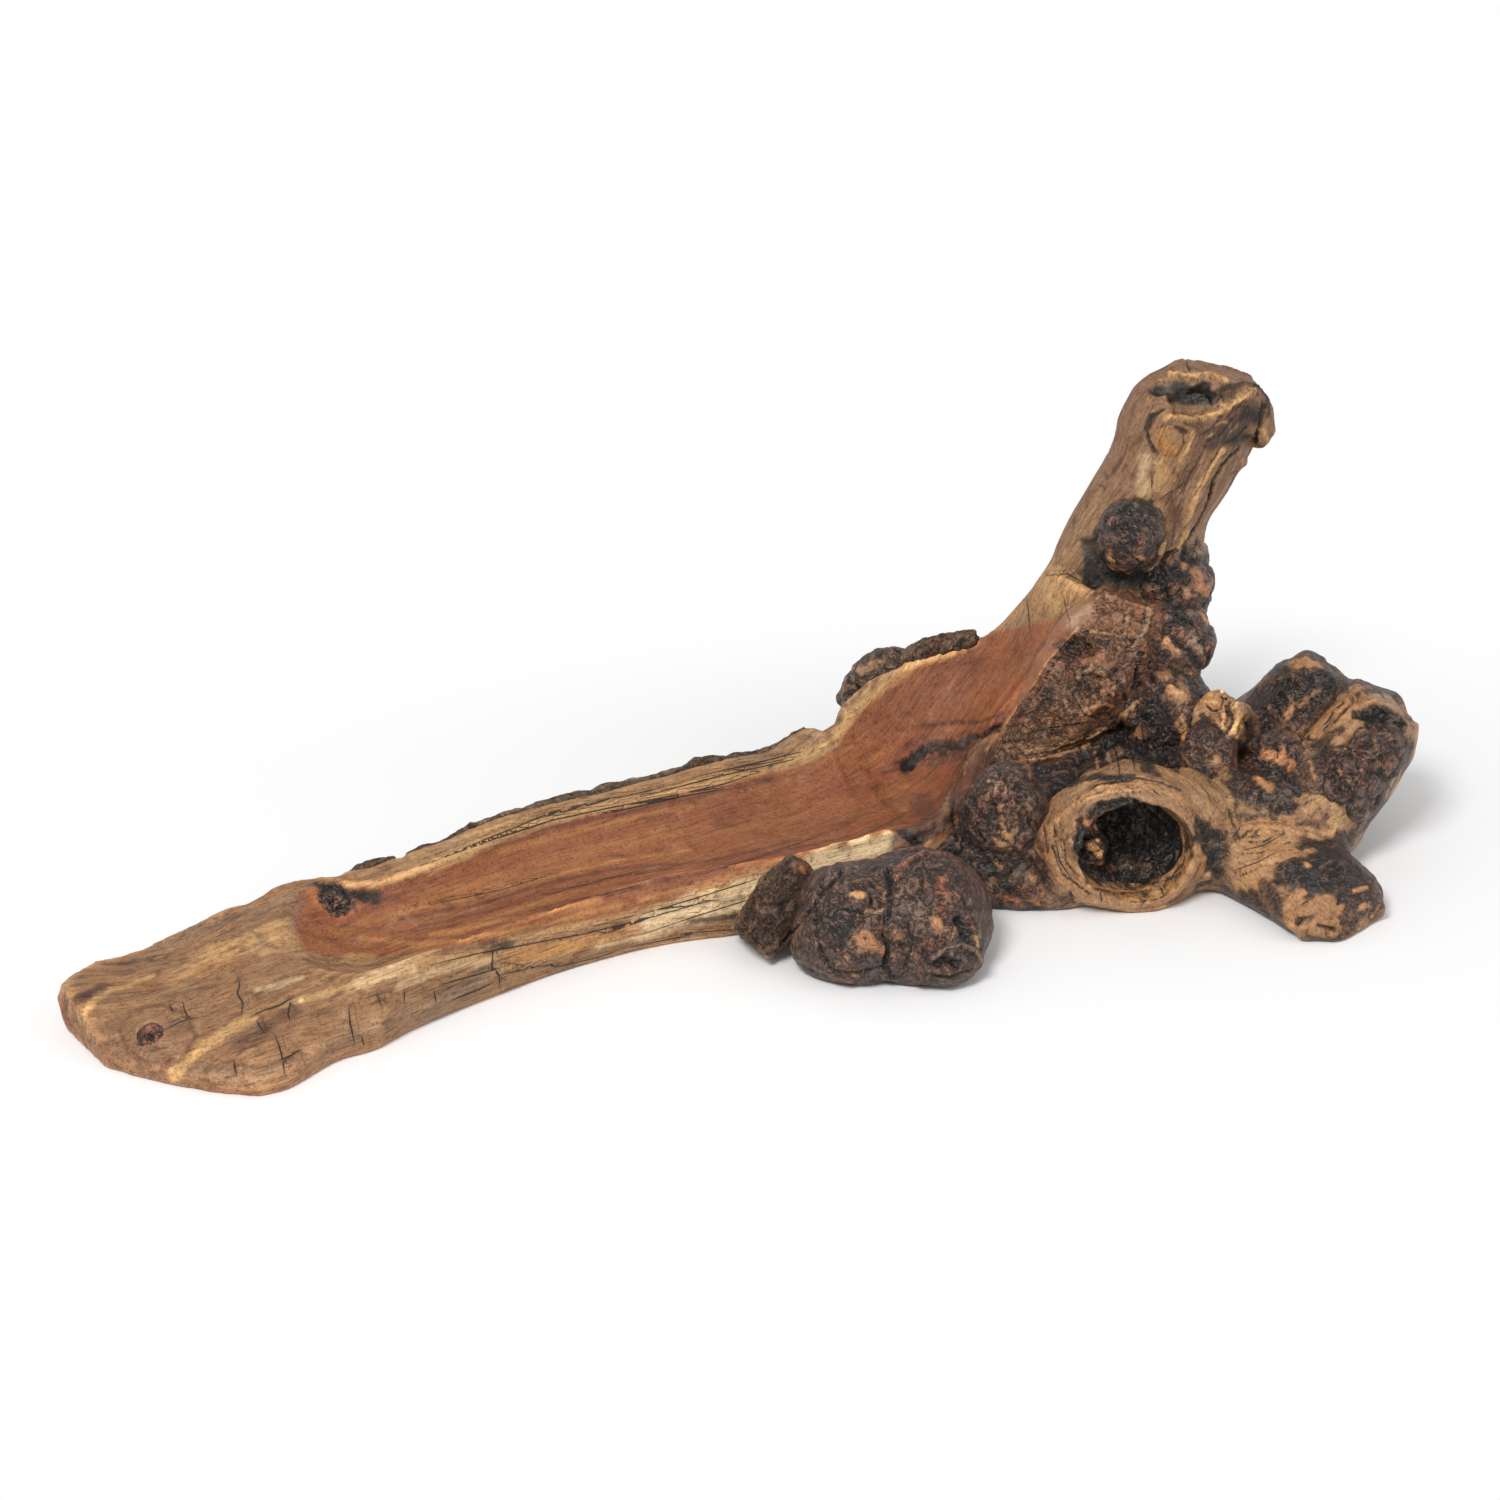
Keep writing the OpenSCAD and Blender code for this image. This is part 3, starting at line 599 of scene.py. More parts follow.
def web(span, amount):
    """Swells each skin where it meets its neighbours, so that they grow into each other."""
    trees = {name: skin.tree() for name, skin in skins.items()}
    corners = {name: (skin.place.min(0) - span, skin.place.max(0) + span) for name, skin in skins.items()}
    for name, skin in skins.items():
        gap = np.full(len(skin.place), span)
        for other, (low, high) in corners.items():
            if other == name:
                continue
            for i in np.nonzero(np.all((skin.place > low) & (skin.place < high), axis=1))[0]:
                d = trees[other].find_nearest(Vector(skin.place[i] * MM), span * MM)[3]
                if d is not None and d / MM < gap[i]:
                    gap[i] = d / MM
        skin.near = skin.averaged(1 - gap / span, 2)
    for name, skin in skins.items():
        if skin.material != "bark":
            skin.push(amount * span * skin.near ** 2)
            skin.refresh()


web(span=5.0, amount=0.35)


# ---- relief and first colours ----
HEARTWOOD_OUTLINE = [
    (300, 896), (330, 880), (372, 884), (400, 878), (451, 862), (502, 840), (553, 822), (604, 811),
    (655, 800), (706, 788), (760, 775), (809, 763), (834, 750), (852, 722), (873, 697), (898, 676),
    (929, 660), (959, 651), (980, 638), (1010, 628), (1040, 622), (1085, 612), (1110, 600), (1110, 660),
    (1060, 665), (1020, 720), (1000, 752), (1000, 775), (980, 790), (950, 815), (900, 830), (850, 844),
    (770, 868), (700, 892), (640, 910), (600, 919), (520, 933), (482, 942), (400, 953), (363, 958),
    (330, 956), (304, 950), (292, 935), (291, 915)]


def shape_limbs():
    follow(limbs, MAIN_GUIDE)
    p, g = limbs.place, limbs.grain
    uv = project(p)
    heart = ramp(inside(uv, HEARTWOOD_OUTLINE) + 2.5 * noise(p, 4, 3), -2.5, 2.5) * (facing(limbs) > 0.05)
    heart *= (limbs.normal[:, 2] > 0.15) | (LIMB_ZONE["trough_board"] < 0.5)
    unseen = (facing(limbs) < 0.1) & (limbs.normal[:, 2] > 0.1) & (LIMB_ZONE["trough_board"] > 0.5)
    for _ in range(12):
        heart = np.where(unseen, limbs.averaged(heart), heart)
    stem = LIMB_ZONE["raised_stem"]
    carved = limbs.averaged(heart, 2)
    wild = 1 - carved
    ridges = fractal(g, (70, 3.4, 3.4), 3, 5)
    fine = fractal(g, (26, 1.5, 1.5), 2, 6)
    lumps = fractal(p, 24, 2, 7)
    behind = stem * (facing(limbs) < 0)
    limbs.push(behind * (2.2 * fractal(g, (60, 9, 9), 3, 24) - 0.9 * np.abs(fractal(g, (40, 6, 6), 2, 25))))
    rough = 0.55 * ridges + 0.2 * fine + 0.9 * lumps
    limbs.push(wild * rough * (1 - 0.45 * stem) + carved * (0.1 * ridges + 0.25 * lumps))
    streak, broad = fractal(g, (60, 3.0, 3.0), 3, 8), fractal(g, (110, 9, 9), 3, 9)
    limbs.tone = blend(TAN, TAN_DARK, ramp(streak, 0.0, 0.7))
    limbs.paint(TAN_LIGHT, ramp(broad, 0.05, 0.6) * 0.8 * (1 - 0.6 * stem))
    limbs.paint(STEM_BROWN, stem * 0.65)
    limbs.paint(GREY_BROWN, ramp(fractal(p, 30, 3, 10), 0.0, 0.5) * 0.6 * (1 - stem))
    limbs.paint(TAN_LIGHT, ramp(fractal(g, (50, 6, 6), 3, 12), 0.2, 0.7) * 0.45 * stem)
    limbs.paint(UMBER, ramp(fractal(g, (45, 2.2, 2.2), 3, 19), 0.3, 0.7) * 0.5 * stem)
    inner = blend(HEART, HEART_RED, ramp(broad, -0.2, 0.5))
    inner = blend(inner, HEART_GOLD, ramp(fractal(g, (140, 5, 5), 3, 14), 0.15, 0.7) * 0.55)
    tip = ramp(-p[:, 0], 120, 170)
    limbs.paint(TIP_BROWN, tip * (0.45 + 0.35 * broad))
    limbs.paint(UMBER, behind * ramp(fractal(g, (50, 4, 4), 3, 26), 0.0, 0.5) * 0.7)
    limbs.paint(BARK_GREY, behind * ramp(fractal(p, 26, 3, 27), -0.1, 0.4) * 0.6)
    limbs.paint(inner, heart)
    limbs.gloss = 0.3 * carved


def bend(p, amount, size, seed):
    """Places shifted by noise, so that the cells round them aren't round."""
    return amount * np.stack([noise(p, size, seed + k) for k in (1, 2, 3)], 1)


def shape_roots():
    follow(roots, MAIN_GUIDE)
    follow(roots, SIDE_GUIDE, ROOT_ZONE["side_arm"] + ROOT_ZONE["rear_arm"] > 0.4)
    follow(roots, FOOT_GUIDE, ROOT_ZONE["foot_root"] > 0.5)
    follow(roots, BOSS_GUIDE, ROOT_ZONE["hollow_boss"] > 0.5)
    p = roots.place
    bent = p + bend(p, 4, 11, 0) + bend(p, 1.5, 4, 3)
    near, second, _ = cells(bent, 14, 4)
    crease = 1 - ramp(second - near, 0.02, 0.3)
    boss = ROOT_ZONE["hollow_boss"]
    knobby = ROOT_ZONE["root_crown"] + 0.45 * ROOT_ZONE["rear_arm"]
    knobby = knobby + 0.25 * ROOT_ZONE["foot_root"] + 0.15 * ROOT_ZONE["side_arm"]
    ridged = 1 - 2 * np.abs(fractal(bent, 9, 3, 21))
    calm = boss + ROOT_ZONE["side_arm"]
    roots.push(knobby * (1.2 * (1 - near ** 2) - 0.9 * crease + 1.1 * ridged - 1.0)
               + (0.6 + 0.4 * knobby) * 1.4 * fractal(p, 18, 3, 5)
               + 0.4 * fractal(roots.grain, (30, 2.4, 2.4), 3, 6) * (1 - 0.4 * calm)
               + boss * (0.8 * fractal(p, 9, 3, 22) + 0.5 * fractal(roots.grain, (20, 3, 3), 2, 23)))
    roots.refresh()
    dark = ramp(fractal(p, 12, 3, 9), -0.3, 0.35)
    roots.tone = blend(UMBER, BARK, dark)
    roots.paint(RUST, ramp(fractal(p, 8, 2, 11), 0.1, 0.6) * 0.7)
    # painted shade: the creases between the knobby lumps are darkened
    roots.paint(SOOT_AND_SHADE, crease * knobby * 0.8)
    tan = blend(TAN, ARM_LIGHT, ramp(fractal(roots.grain, (40, 4, 4), 3, 12), -0.2, 0.6))
    tan = blend(tan, TIP_BROWN, ramp(fractal(roots.grain, (25, 3, 3), 3, 13), 0.0, 0.6) * 0.8)
    tan = blend(tan, UMBER, ramp(fractal(roots.grain, (18, 1.6, 1.6), 3, 18), 0.25, 0.7) * 0.7)
    roots.paint(tan, boss * ramp(-roots.place[:, 1], -40, 5))
    roots.paint(tan, ROOT_ZONE["side_arm"] * ramp(fractal(p, 18, 2, 15), -0.1, 0.2))
    roots.paint(tan, ROOT_ZONE["foot_root"] * ramp(fractal(p, 14, 2, 16), -0.1, 0.25) * 0.8)
    roots.paint(tan, ROOT_ZONE["rear_arm"] * ramp(fractal(p, 10, 2, 17), 0.15, 0.4) * 0.7)
    roots.gloss = 0.35 + 0.3 * dark


def shape_burl(name, skin, radii, seed):
    p = skin.place
    size = sum(radii) / 3
    knobby = KNOBBY.get(name, 1.0)
    bent = p + bend(p, 3.2, 8, 30) + bend(p, 1.2, 3.5, 40)
    near, second, ident = cells(bent, max(6.0, size * 0.8), 6 + seed)
    crease = 1 - ramp(second - near, 0.02, 0.3)
    ridged = 1 - 2 * np.abs(fractal(bent, size * 0.55, 3, 21 + seed))
    skin.push(knobby * size * (0.10 * (1 - near ** 2) - 0.06 * crease + 0.05 * ridged - 0.04)
              + (0.3 + 0.7 * knobby) * 0.09 * size * fractal(p, size * 0.7, 2, 44 + seed)
              + 0.45 * fractal(p, 3.0, 3, 41))
    skin.refresh()
    dark = ramp(fractal(p, 9, 3, 42), -0.35, 0.35)
    skin.tone = blend(RUST, UMBER, ramp(fractal(p, 11, 2, 43), -0.5, 0.2))
    skin.paint(BARK, dark * 0.7)
    centre_tone = np.where((ident > 0.62)[:, None], EYE_TAN, ORANGE)
    skin.paint(centre_tone, (1 - ramp(near, 0.12, 0.45)) * (ident > 0.4) * 0.6 * knobby)
    # painted shade: the creases between the domes are darkened
    skin.paint(SOOT_AND_SHADE, np.clip(crease * 0.7 * knobby, 0, 1))
    skin.gloss = 0.35 + 0.35 * dark
    skin.grain = bent


def shape_bark(skin, lift):
    follow(skin, MAIN_GUIDE)
    p, g = skin.place, skin.grain
    skin.push(lift * (0.6 + 0.5 * fractal(g, (16, 6, 6), 2, 50)) + 0.8 * fractal(g, (9, 1.6, 1.6), 3, 51)
              + 0.5 * fractal(p, 2.2, 2, 52) + 0.9 * fractal(p, 6, 2, 56))
    skin.tone = blend(BARK_GREY, UMBER, ramp(fractal(g, (20, 2.5, 2.5), 3, 53), -0.1, 0.6))
    skin.paint(GREY_BROWN, ramp(fractal(p, 6, 2, 54), 0.1, 0.6) * 0.7)
    skin.paint(UMBER, ramp(fractal(g, (14, 1.6, 1.6), 3, 57), 0.0, 0.5) * 0.8)
    skin.paint(SOOT_AND_SHADE, ramp(fractal(p, 3.5, 2, 55), 0.15, 0.6) * 0.7)


SAWN_WAY = np.array([-0.29, -0.85, 0.44])
STICK_MOUTH, SLAB_DIMPLE = [138.7, 13.65, 63.4], [132.25, 13.2, 66]


def shape_slab():
    skin = skins["ridge_slab"]
    p = skin.place
    sawn = skin.averaged(ramp(skin.normal @ SAWN_WAY, 0.8, 0.95), 2)
    mouth = np.linalg.norm(p - STICK_MOUTH, axis=1)
    bent = p + bend(p, 3, 8, 60)
    near = cells(bent, 9, 61)[0]
    ridged = 1 - 2 * np.abs(fractal(bent, 8, 3, 66))
    clear = ramp(mouth, 2.0, 4.5)
    dimple = ramp(np.linalg.norm(p - SLAB_DIMPLE, axis=1), 10, 6) * clear
    relief = 1.3 * (0.6 - near) + 0.9 * ridged + 1.0 * fractal(p, 11, 3, 62)
    skin.push(clear * (1 - 0.65 * sawn) * relief + 2.0 * dimple)
    skin.refresh()
    skin.tone = blend(HEART_RED, UMBER, ramp(fractal(p, 10, 3, 64), -0.2, 0.5))
    skin.paint(TAN_DARK, ramp(fractal(bent, (5, 12, 5), 3, 65), -0.2, 0.4) * 0.9)
    skin.paint(TAN, ramp(fractal(bent, (4, 12, 4), 3, 68), 0.2, 0.7) * 0.6)
    skin.paint(BARK, ramp(fractal(p, 8, 3, 67), 0.1, 0.5) * 0.8)
    skin.gloss = np.full(len(p), 0.4)


# ---- the outline, drawn out where the limbs stray from it ----
LIMB, ROOT = ["trough_and_stem"], ["root_crown_and_arms"]
PETAL, PLATE, TWIG = ["petal_burl"], ["front_bark_plate"], ["twig_stub"]

# each row: the frame pixels aimed at, the reach, the moves to the right and up, and the skin that moves
HOOK_NUDGES = (
    (1253, 458, 30, -6, 0, LIMB),
    (1246, 480, 34, -8, 0, LIMB),
    (1236, 502, 36, -8, 0, LIMB),
    (1220, 524, 36, -9, 0, LIMB),
    (1243, 464, 9, 5, 0, LIMB),
    (1240, 484, 8, 5, 0, LIMB),
    (1234, 494, 7, -4, 0, LIMB),
    (1274, 428, 24, -9, 0, LIMB),
    (1262, 405, 24, -4, 0, LIMB),
    (1262, 442, 12, 0, -4, LIMB),
    (1246, 442, 12, -3, 5, LIMB),
)
OUTLINE_NUDGES = (
    (1138, 408, 56, -8, 5, LIMB),
    (270, 886, 50, 0, -11, LIMB),
    (335, 884, 44, 0, 4, LIMB),
    (80, 985, 54, 0, 7, LIMB),
    (968, 955, 24, 6, 0, PETAL),
    (950, 945, 18, 0, 4, PETAL),
    (815, 950, 54, -12, -3, ["front_burl_left"]),
    (1345, 855, 40, 12, 0, ROOT),
    (1380, 912, 24, -6, 5, ROOT),
    (1368, 884, 24, 4, 3, ROOT),
    (1395, 700, 30, 4, 4, ROOT),
    (1160, 890, 60, 0, -7, ROOT),
    (1338, 926, 34, 0, -7, ROOT),
    (1296, 936, 16, 0, 3, ROOT),
    (1255, 738, 34, -9, 8, TWIG),
    (1238, 695, 20, -6, -4, TWIG),
)
KNOT_HOLLOW = np.array([118.25, -44.8, 23.0])
sight = Sight(skins)
for table in (HOOK_NUDGES, OUTLINE_NUDGES):
    for u, v, width, right, up, only in table:
        nudge(u, v, width, right, up, only)
for s in skins.values():
    s.refresh()


def widen(centre, axis, low, high, amount):
    """Pushes the walls round a hollow outwards, between two distances from its axis."""
    axis = np.array(axis) / np.linalg.norm(axis)
    off = roots.place - centre
    along = (off @ axis)[:, None] * axis
    out = off - along
    away = np.linalg.norm(out, axis=1)
    share = ramp(away, low * 0.4, low) * (1 - ramp(away, low, high)) * (np.abs(off @ axis) < high)
    roots.place = roots.place + out / np.maximum(away, 1e-6)[:, None] * (share * amount)[:, None]
    roots.refresh()


widen(KNOT_HOLLOW, axis=(0.1, 1, 0), low=15.0, high=27.0, amount=3.4)

shape_limbs()
shape_roots()
for index, (name, (centre, radii)) in enumerate(BURLS.items()):
    shape_burl(name, skins[name], radii, index)
for name, lift in (("front_bark_plate", 0.6), ("rim_bark_long", 0.1), ("rim_bark_short", 0.1),
                   ("rim_bark_flap", 0.3)):
    shape_bark(skins[name], lift)
shape_slab()
twig = skins["twig_stub"]
twig.push(1.5 * fractal(twig.place, 6, 3, 71) + 0.5 * fractal(twig.place, 2.2, 2, 72))
twig.tone = blend(TAN, TAN_DARK, ramp(fractal(twig.place, 5, 3, 70), -0.1, 0.7))
for s in skins.values():
    s.refresh()
    # painted shade: each skin is darkened where it meets its neighbours, half as much on the limbs
    s.paint(SOOT_AND_SHADE, np.clip(s.near * 1.4 - 0.55, 0, 1) * 0.8 * (1 if s is not limbs else 0.5))
sight.renew(skins)


# ---- marks: what is cut, worn and charred, and painted highlights and shade, piece by piece ----
SLAB, STEM_BURL, HUMP = ["ridge_slab"], ["stem_burl"], ["rear_hump"]
PETAL_ROUND = ["petal_burl", "front_burl_right"]
KNOB, ARM_EYE = ["arm_knob", "root_crown_and_arms"], ["side_arm_eye", "root_crown_and_arms"]

# outlines of the sawn and the carved faces, and spans across the view where tones fade, in frame pixels
SCOOP_WALL = [(940, 742), (985, 734), (1004, 756), (990, 800), (964, 832), (925, 842), (905, 820), (930, 790)]
WALL_FADE, SCOOP_FADE, TIP_FADE = (950, 975), (780, 900), (300, 420)
SLAB_FACE = [(1030, 540), (1092, 560), (1093, 590), (1091, 617), (1066, 630), (1020, 630)]
SLAB_LOWER_FACE = [(1091, 618), (1086, 621), (1066, 640), (1046, 662), (1036, 680), (1012, 714), (984, 752),
                   (960, 775), (940, 760), (1000, 640), (1030, 618)]

# each stroke: a line in frame pixels, its width in pixels, its tone and strength, and where they are
# given its depth in millimetres, its gloss and a dict of what it alone has; each crack: a line
TIP_STREAKS = (
    ([(190, 972), (230, 952), (285, 936)], 48, TAN_LIGHT, 0.85),
    ([(215, 950), (250, 938), (280, 922)], 20, STRAW, 0.6),
    ([(186, 976), (206, 962), (230, 958)], 14, STRAW, 0.6),
    ([(230, 946), (246, 950), (262, 962)], 5, TIP_BROWN, 0.6),
    ([(196, 984), (226, 966), (260, 970), (290, 962)], 5, TIP_BROWN, 0.6),
    ([(250, 930), (268, 946), (290, 950)], 5, GREY_BROWN, 0.6),
    ([(100, 960), (200, 930), (290, 900)], 26, GREY_BROWN, 0.5),
    ([(110, 1040), (140, 1065), (175, 1075)], 30, TIP_BROWN, 0.5),
    ([(66, 985), (84, 960), (150, 945)], 16, GREY_BROWN, 0.5),
    ([(100, 1030), (130, 1015), (170, 1000)], 14, TAN_DARK, 0.4),
    ([(180, 970), (200, 960), (240, 945)], 7, TAN_DARK, 0.4),
    ([(230, 985), (300, 960), (360, 958)], 8, TAN_DARK, 0.35),
    ([(81, 1019), (92, 1002), (110, 990), (152, 977)], 9, STRAW, 0.85),
    ([(173, 1075), (190, 1058), (220, 1035), (247, 1019)], 15, STRAW, 0.85),
    ([(247, 1019), (275, 1006), (311, 997), (362, 983), (413, 968)], 9, STRAW, 0.7),
    ([(358, 984), (385, 974), (413, 966)], 14, CREAM, 0.45),
    ([(258, 990), (280, 985), (300, 978)], 9, CREAM, 0.5),
    ([(345, 962), (365, 956)], 16, STRAW, 0.45),
    ([(400, 985), (450, 968), (490, 960)], 9, CREAM, 0.4),
    ([(122, 964), (152, 957)], 12, UMBER, 0.85),
    ([(150, 985), (200, 968), (240, 962)], 22, HEART, 0.4),
    ([(76, 1001), (104, 985)], 11, UMBER, 0.85),
    ([(79, 997), (100, 988)], 8, UMBER, 0.8),
    ([(200, 990), (217, 985)], 9, TAN_DARK, 0.7),
    ([(236, 1042), (262, 1030)], 15, UMBER, 0.6),
    ([(262, 1028), (280, 1018), (294, 1010)], 16, UMBER, 0.7),
    ([(300, 1030), (340, 1010)], 22, TAN, 0.5),
    ([(64, 1014), (76, 1042), (94, 1065), (130, 1077), (183, 1086)], 13, HEART_RED, 0.8),
    ([(190, 1088), (262, 1095)], 7, HEART_RED, 0.5),
    ([(200, 1070), (240, 1080), (280, 1065)], 18, GREY_BROWN, 0.5),
    ([(300, 1060), (400, 1015), (500, 975)], 18, GREY_BROWN, 0.5),
)

TIP_EYE = (
    ([(302, 1000)], 5, CREAM, 1.0, 0.3, dict(warp=0.35)),
    ([(150, 1035)], 26, UMBER, 0.5, 0.4, dict(warp=0.5)),
    ([(149, 1034)], 18, HEART_RED, 0.7, 0.4),
    ([(150, 1036)], 11, SOOT_AND_SHADE, 0.97, -1.0),
    ([(153, 1033)], 5, RUST, 0.8, 0.5, dict(warp=0.5)),
    ([(138, 1010), (160, 1004), (184, 1014), (196, 1036), (180, 1060)], 6, HEART_DARK, 0.45, -0.2),
    ([(120, 1030), (128, 1052), (150, 1064), (176, 1060)], 5, HEART_DARK, 0.45, -0.2),
)

TIP_CRACKS = (
    [(238, 978), (240, 986), (237, 993), (243, 1003), (241, 1016)],
    [(183, 1003), (185, 1012), (190, 1019)],
    [(257, 1021), (260, 1027), (263, 1031)],
    [(275, 1035), (279, 1045), (282, 1056), (285, 1076)],
    [(349, 1009), (350, 1022), (354, 1042)],
    [(362, 1037), (364, 1046)],
    [(378, 996), (381, 1006)],
    [(283, 1060), (300, 1050)],
    [(234, 1060), (236, 1075)],
    [(405, 990), (404, 1004)],
    [(434, 990), (436, 1003)],
    [(165, 1030), (180, 1022), (195, 1018)],
    [(170, 1005), (173, 1012)],
    [(291, 1000), (288, 1015), (290, 1022)],
)

TIP_SPLIT = [(252, 1016), (265, 1010), (278, 1006), (292, 998)]
LIP_SPLIT = [(493, 950), (492, 968), (499, 975), (500, 988)]
LOW_SPLIT = [(452, 1000), (478, 990), (494, 982)]

FRONT_STREAKS = (
    ([(700, 905), (790, 876), (870, 846)], 32, STRAW, 0.8),
    ([(500, 965), (600, 940), (700, 915)], 22, TAN_LIGHT, 0.5),
    ([(640, 930), (700, 910), (772, 888)], 34, CREAM, 0.95),
    ([(600, 945), (640, 932)], 12, CREAM, 0.6),
    ([(786, 880), (815, 862), (842, 855)], 22, CREAM, 0.95),
    ([(842, 855), (870, 848), (896, 846)], 26, CREAM, 0.97),
    ([(896, 852), (886, 838), (878, 824)], 11, CREAM, 0.95),
    ([(510, 958), (560, 948), (637, 928)], 16, HEART_GOLD, 0.75),
    ([(500, 940), (600, 922), (700, 896)], 7, TAN_LIGHT, 0.6),
    ([(640, 955), (700, 945), (745, 945)], 14, TAN_DARK, 0.7),
    ([(650, 945), (700, 938)], 8, TAN_LIGHT, 0.5),
    # bark and painted shade: the dark band under the cream patch
    ([(690, 922), (745, 915), (790, 902)], 9, BARK, 0.85),
    ([(735, 930), (765, 922)], 16, UMBER, 0.7),
    ([(745, 945), (760, 955)], 14, BARK, 0.8),
    ([(560, 975), (650, 955)], 10, GREY_BROWN, 0.6),
    ([(420, 962), (480, 955)], 8, STRAW, 0.5),
    ([(494, 947), (512, 944)], 9, SOOT_AND_SHADE, 0.75),
    ([(720, 905), (760, 895)], 5, TAN_DARK, 0.5),
)

FRONT_SPECK = (
    ([(517, 947)], 6, STRAW, 0.8),
)

FRONT_CRACKS = (
    [(683, 933), (715, 931), (752, 928)],
    [(500, 962), (530, 966), (560, 966), (600, 957), (640, 941)],
    [(430, 965), (480, 953), (525, 945), (600, 930)],
    [(560, 940), (640, 920), (720, 898)],
    [(640, 935), (700, 915), (770, 893)],
    [(500, 975), (560, 962)],
    [(660, 950), (740, 940)],
    [(520, 990), (600, 968), (660, 955)],
    [(640, 915), (700, 897), (760, 878)],
    [(600, 935), (660, 915)],
    [(700, 940), (745, 935)],
    [(440, 985), (500, 968)],
    [(640, 945), (690, 935)],
)

TROUGH_STREAKS = (
    ([(400, 919), (477, 905), (553, 882), (617, 868), (706, 862), (800, 839)], 6, HEART_DARK, 0.8),
    ([(420, 926), (477, 914), (553, 893), (640, 872), (720, 858)], 4, HEART_DARK, 0.75),
    ([(528, 915), (604, 895), (655, 882), (719, 868), (800, 846)], 7, HEART_DARK, 0.75),
    ([(340, 925), (400, 932), (470, 925), (540, 908), (600, 893)], 4, HEART_DARK, 0.7),
    ([(350, 940), (400, 942), (480, 933), (560, 918)], 4, HEART_DARK, 0.7),
    ([(400, 912), (470, 898), (540, 878), (610, 862), (690, 850)], 5, HEART_GOLD, 0.7),
    ([(620, 884), (700, 872), (780, 852), (850, 836)], 6, HEART_DARK, 0.7),
    ([(430, 935), (520, 918), (600, 900)], 8, HEART_GOLD, 0.8),
    ([(360, 938), (430, 945), (520, 930), (620, 905)], 7, HEART_GOLD, 0.75),
    ([(640, 900), (720, 880), (800, 855)], 7, HEART_GOLD, 0.7),
    ([(460, 890), (560, 860), (680, 830)], 20, HEART_GOLD, 0.35),
    ([(440, 862), (500, 845), (560, 826), (620, 815), (700, 796), (770, 780)], 6, HEART_DARK, 0.7),
    ([(500, 852), (600, 824), (700, 806)], 7, HEART_GOLD, 0.5),
    ([(700, 850), (780, 830), (860, 800)], 18, HEART_RED, 0.3),
    ([(320, 925), (335, 945), (380, 955)], 12, HEART_RED, 0.6),
    ([(303, 893), (296, 920), (306, 944)], 9, HEART_RED, 0.6),
    ([(298, 905), (292, 930)], 12, GREY_BROWN, 0.6),
    ([(870, 740), (900, 700), (960, 670)], 30, HEART_RED, 0.35),
    # painted highlight: a faint pink streak on the chute
    ([(960, 700), (1000, 680), (1040, 650)], 36, ROSE, 0.2),
    ([(880, 720), (940, 690), (1010, 660)], 60, HEART_DARK, 0.22),
    ([(820, 830), (900, 800), (960, 785)], 24, HEART_DARK, 0.35),
    ([(840, 845), (880, 825), (915, 815)], 10, TAN_DARK, 0.6),
    ([(870, 790), (920, 775)], 16, HEART_DARK, 0.3),
    ([(900, 730), (940, 725), (990, 705)], 16, HEART_DARK, 0.3),
    ([(915, 815), (940, 800), (960, 780)], 16, UMBER, 0.6),
)

REAR_RIM = [(430, 866), (451, 858), (502, 836), (553, 817), (604, 806), (655, 795), (706, 783), (760, 770),
            (812, 754), (832, 742), (848, 718), (868, 696), (893, 678), (920, 661), (952, 650), (975, 641)]

RIM_STREAKS = (
    (REAR_RIM, 15, TAN_LIGHT, 0.85),
    (REAR_RIM, 6, STRAW, 0.5, dict(warp=0.6)),
)

RIM_CRACKS = (
    [(420, 866), (489, 841), (553, 820), (604, 809), (681, 794), (724, 784), (771, 768)],
    [(440, 858), (489, 838), (553, 812), (620, 796)],
    [(600, 815), (680, 797), (724, 789)],
    [(640, 797), (720, 776), (800, 758)],
    [(540, 818), (600, 802), (660, 788)],
    [(700, 776), (760, 762), (800, 752)],
)

FLOOR_CRACKS = (
    [(430, 905), (500, 890), (560, 872)],
    [(545, 895), (610, 878), (680, 868)],
    [(700, 875), (780, 850), (850, 825)],
    [(560, 905), (640, 885)],
    [(870, 832), (905, 815)],
)

RAGGED_LIP = [(904, 766), (912, 758), (920, 752), (929, 745), (942, 742), (955, 745), (968, 737), (980, 735),
              (1000, 727)]

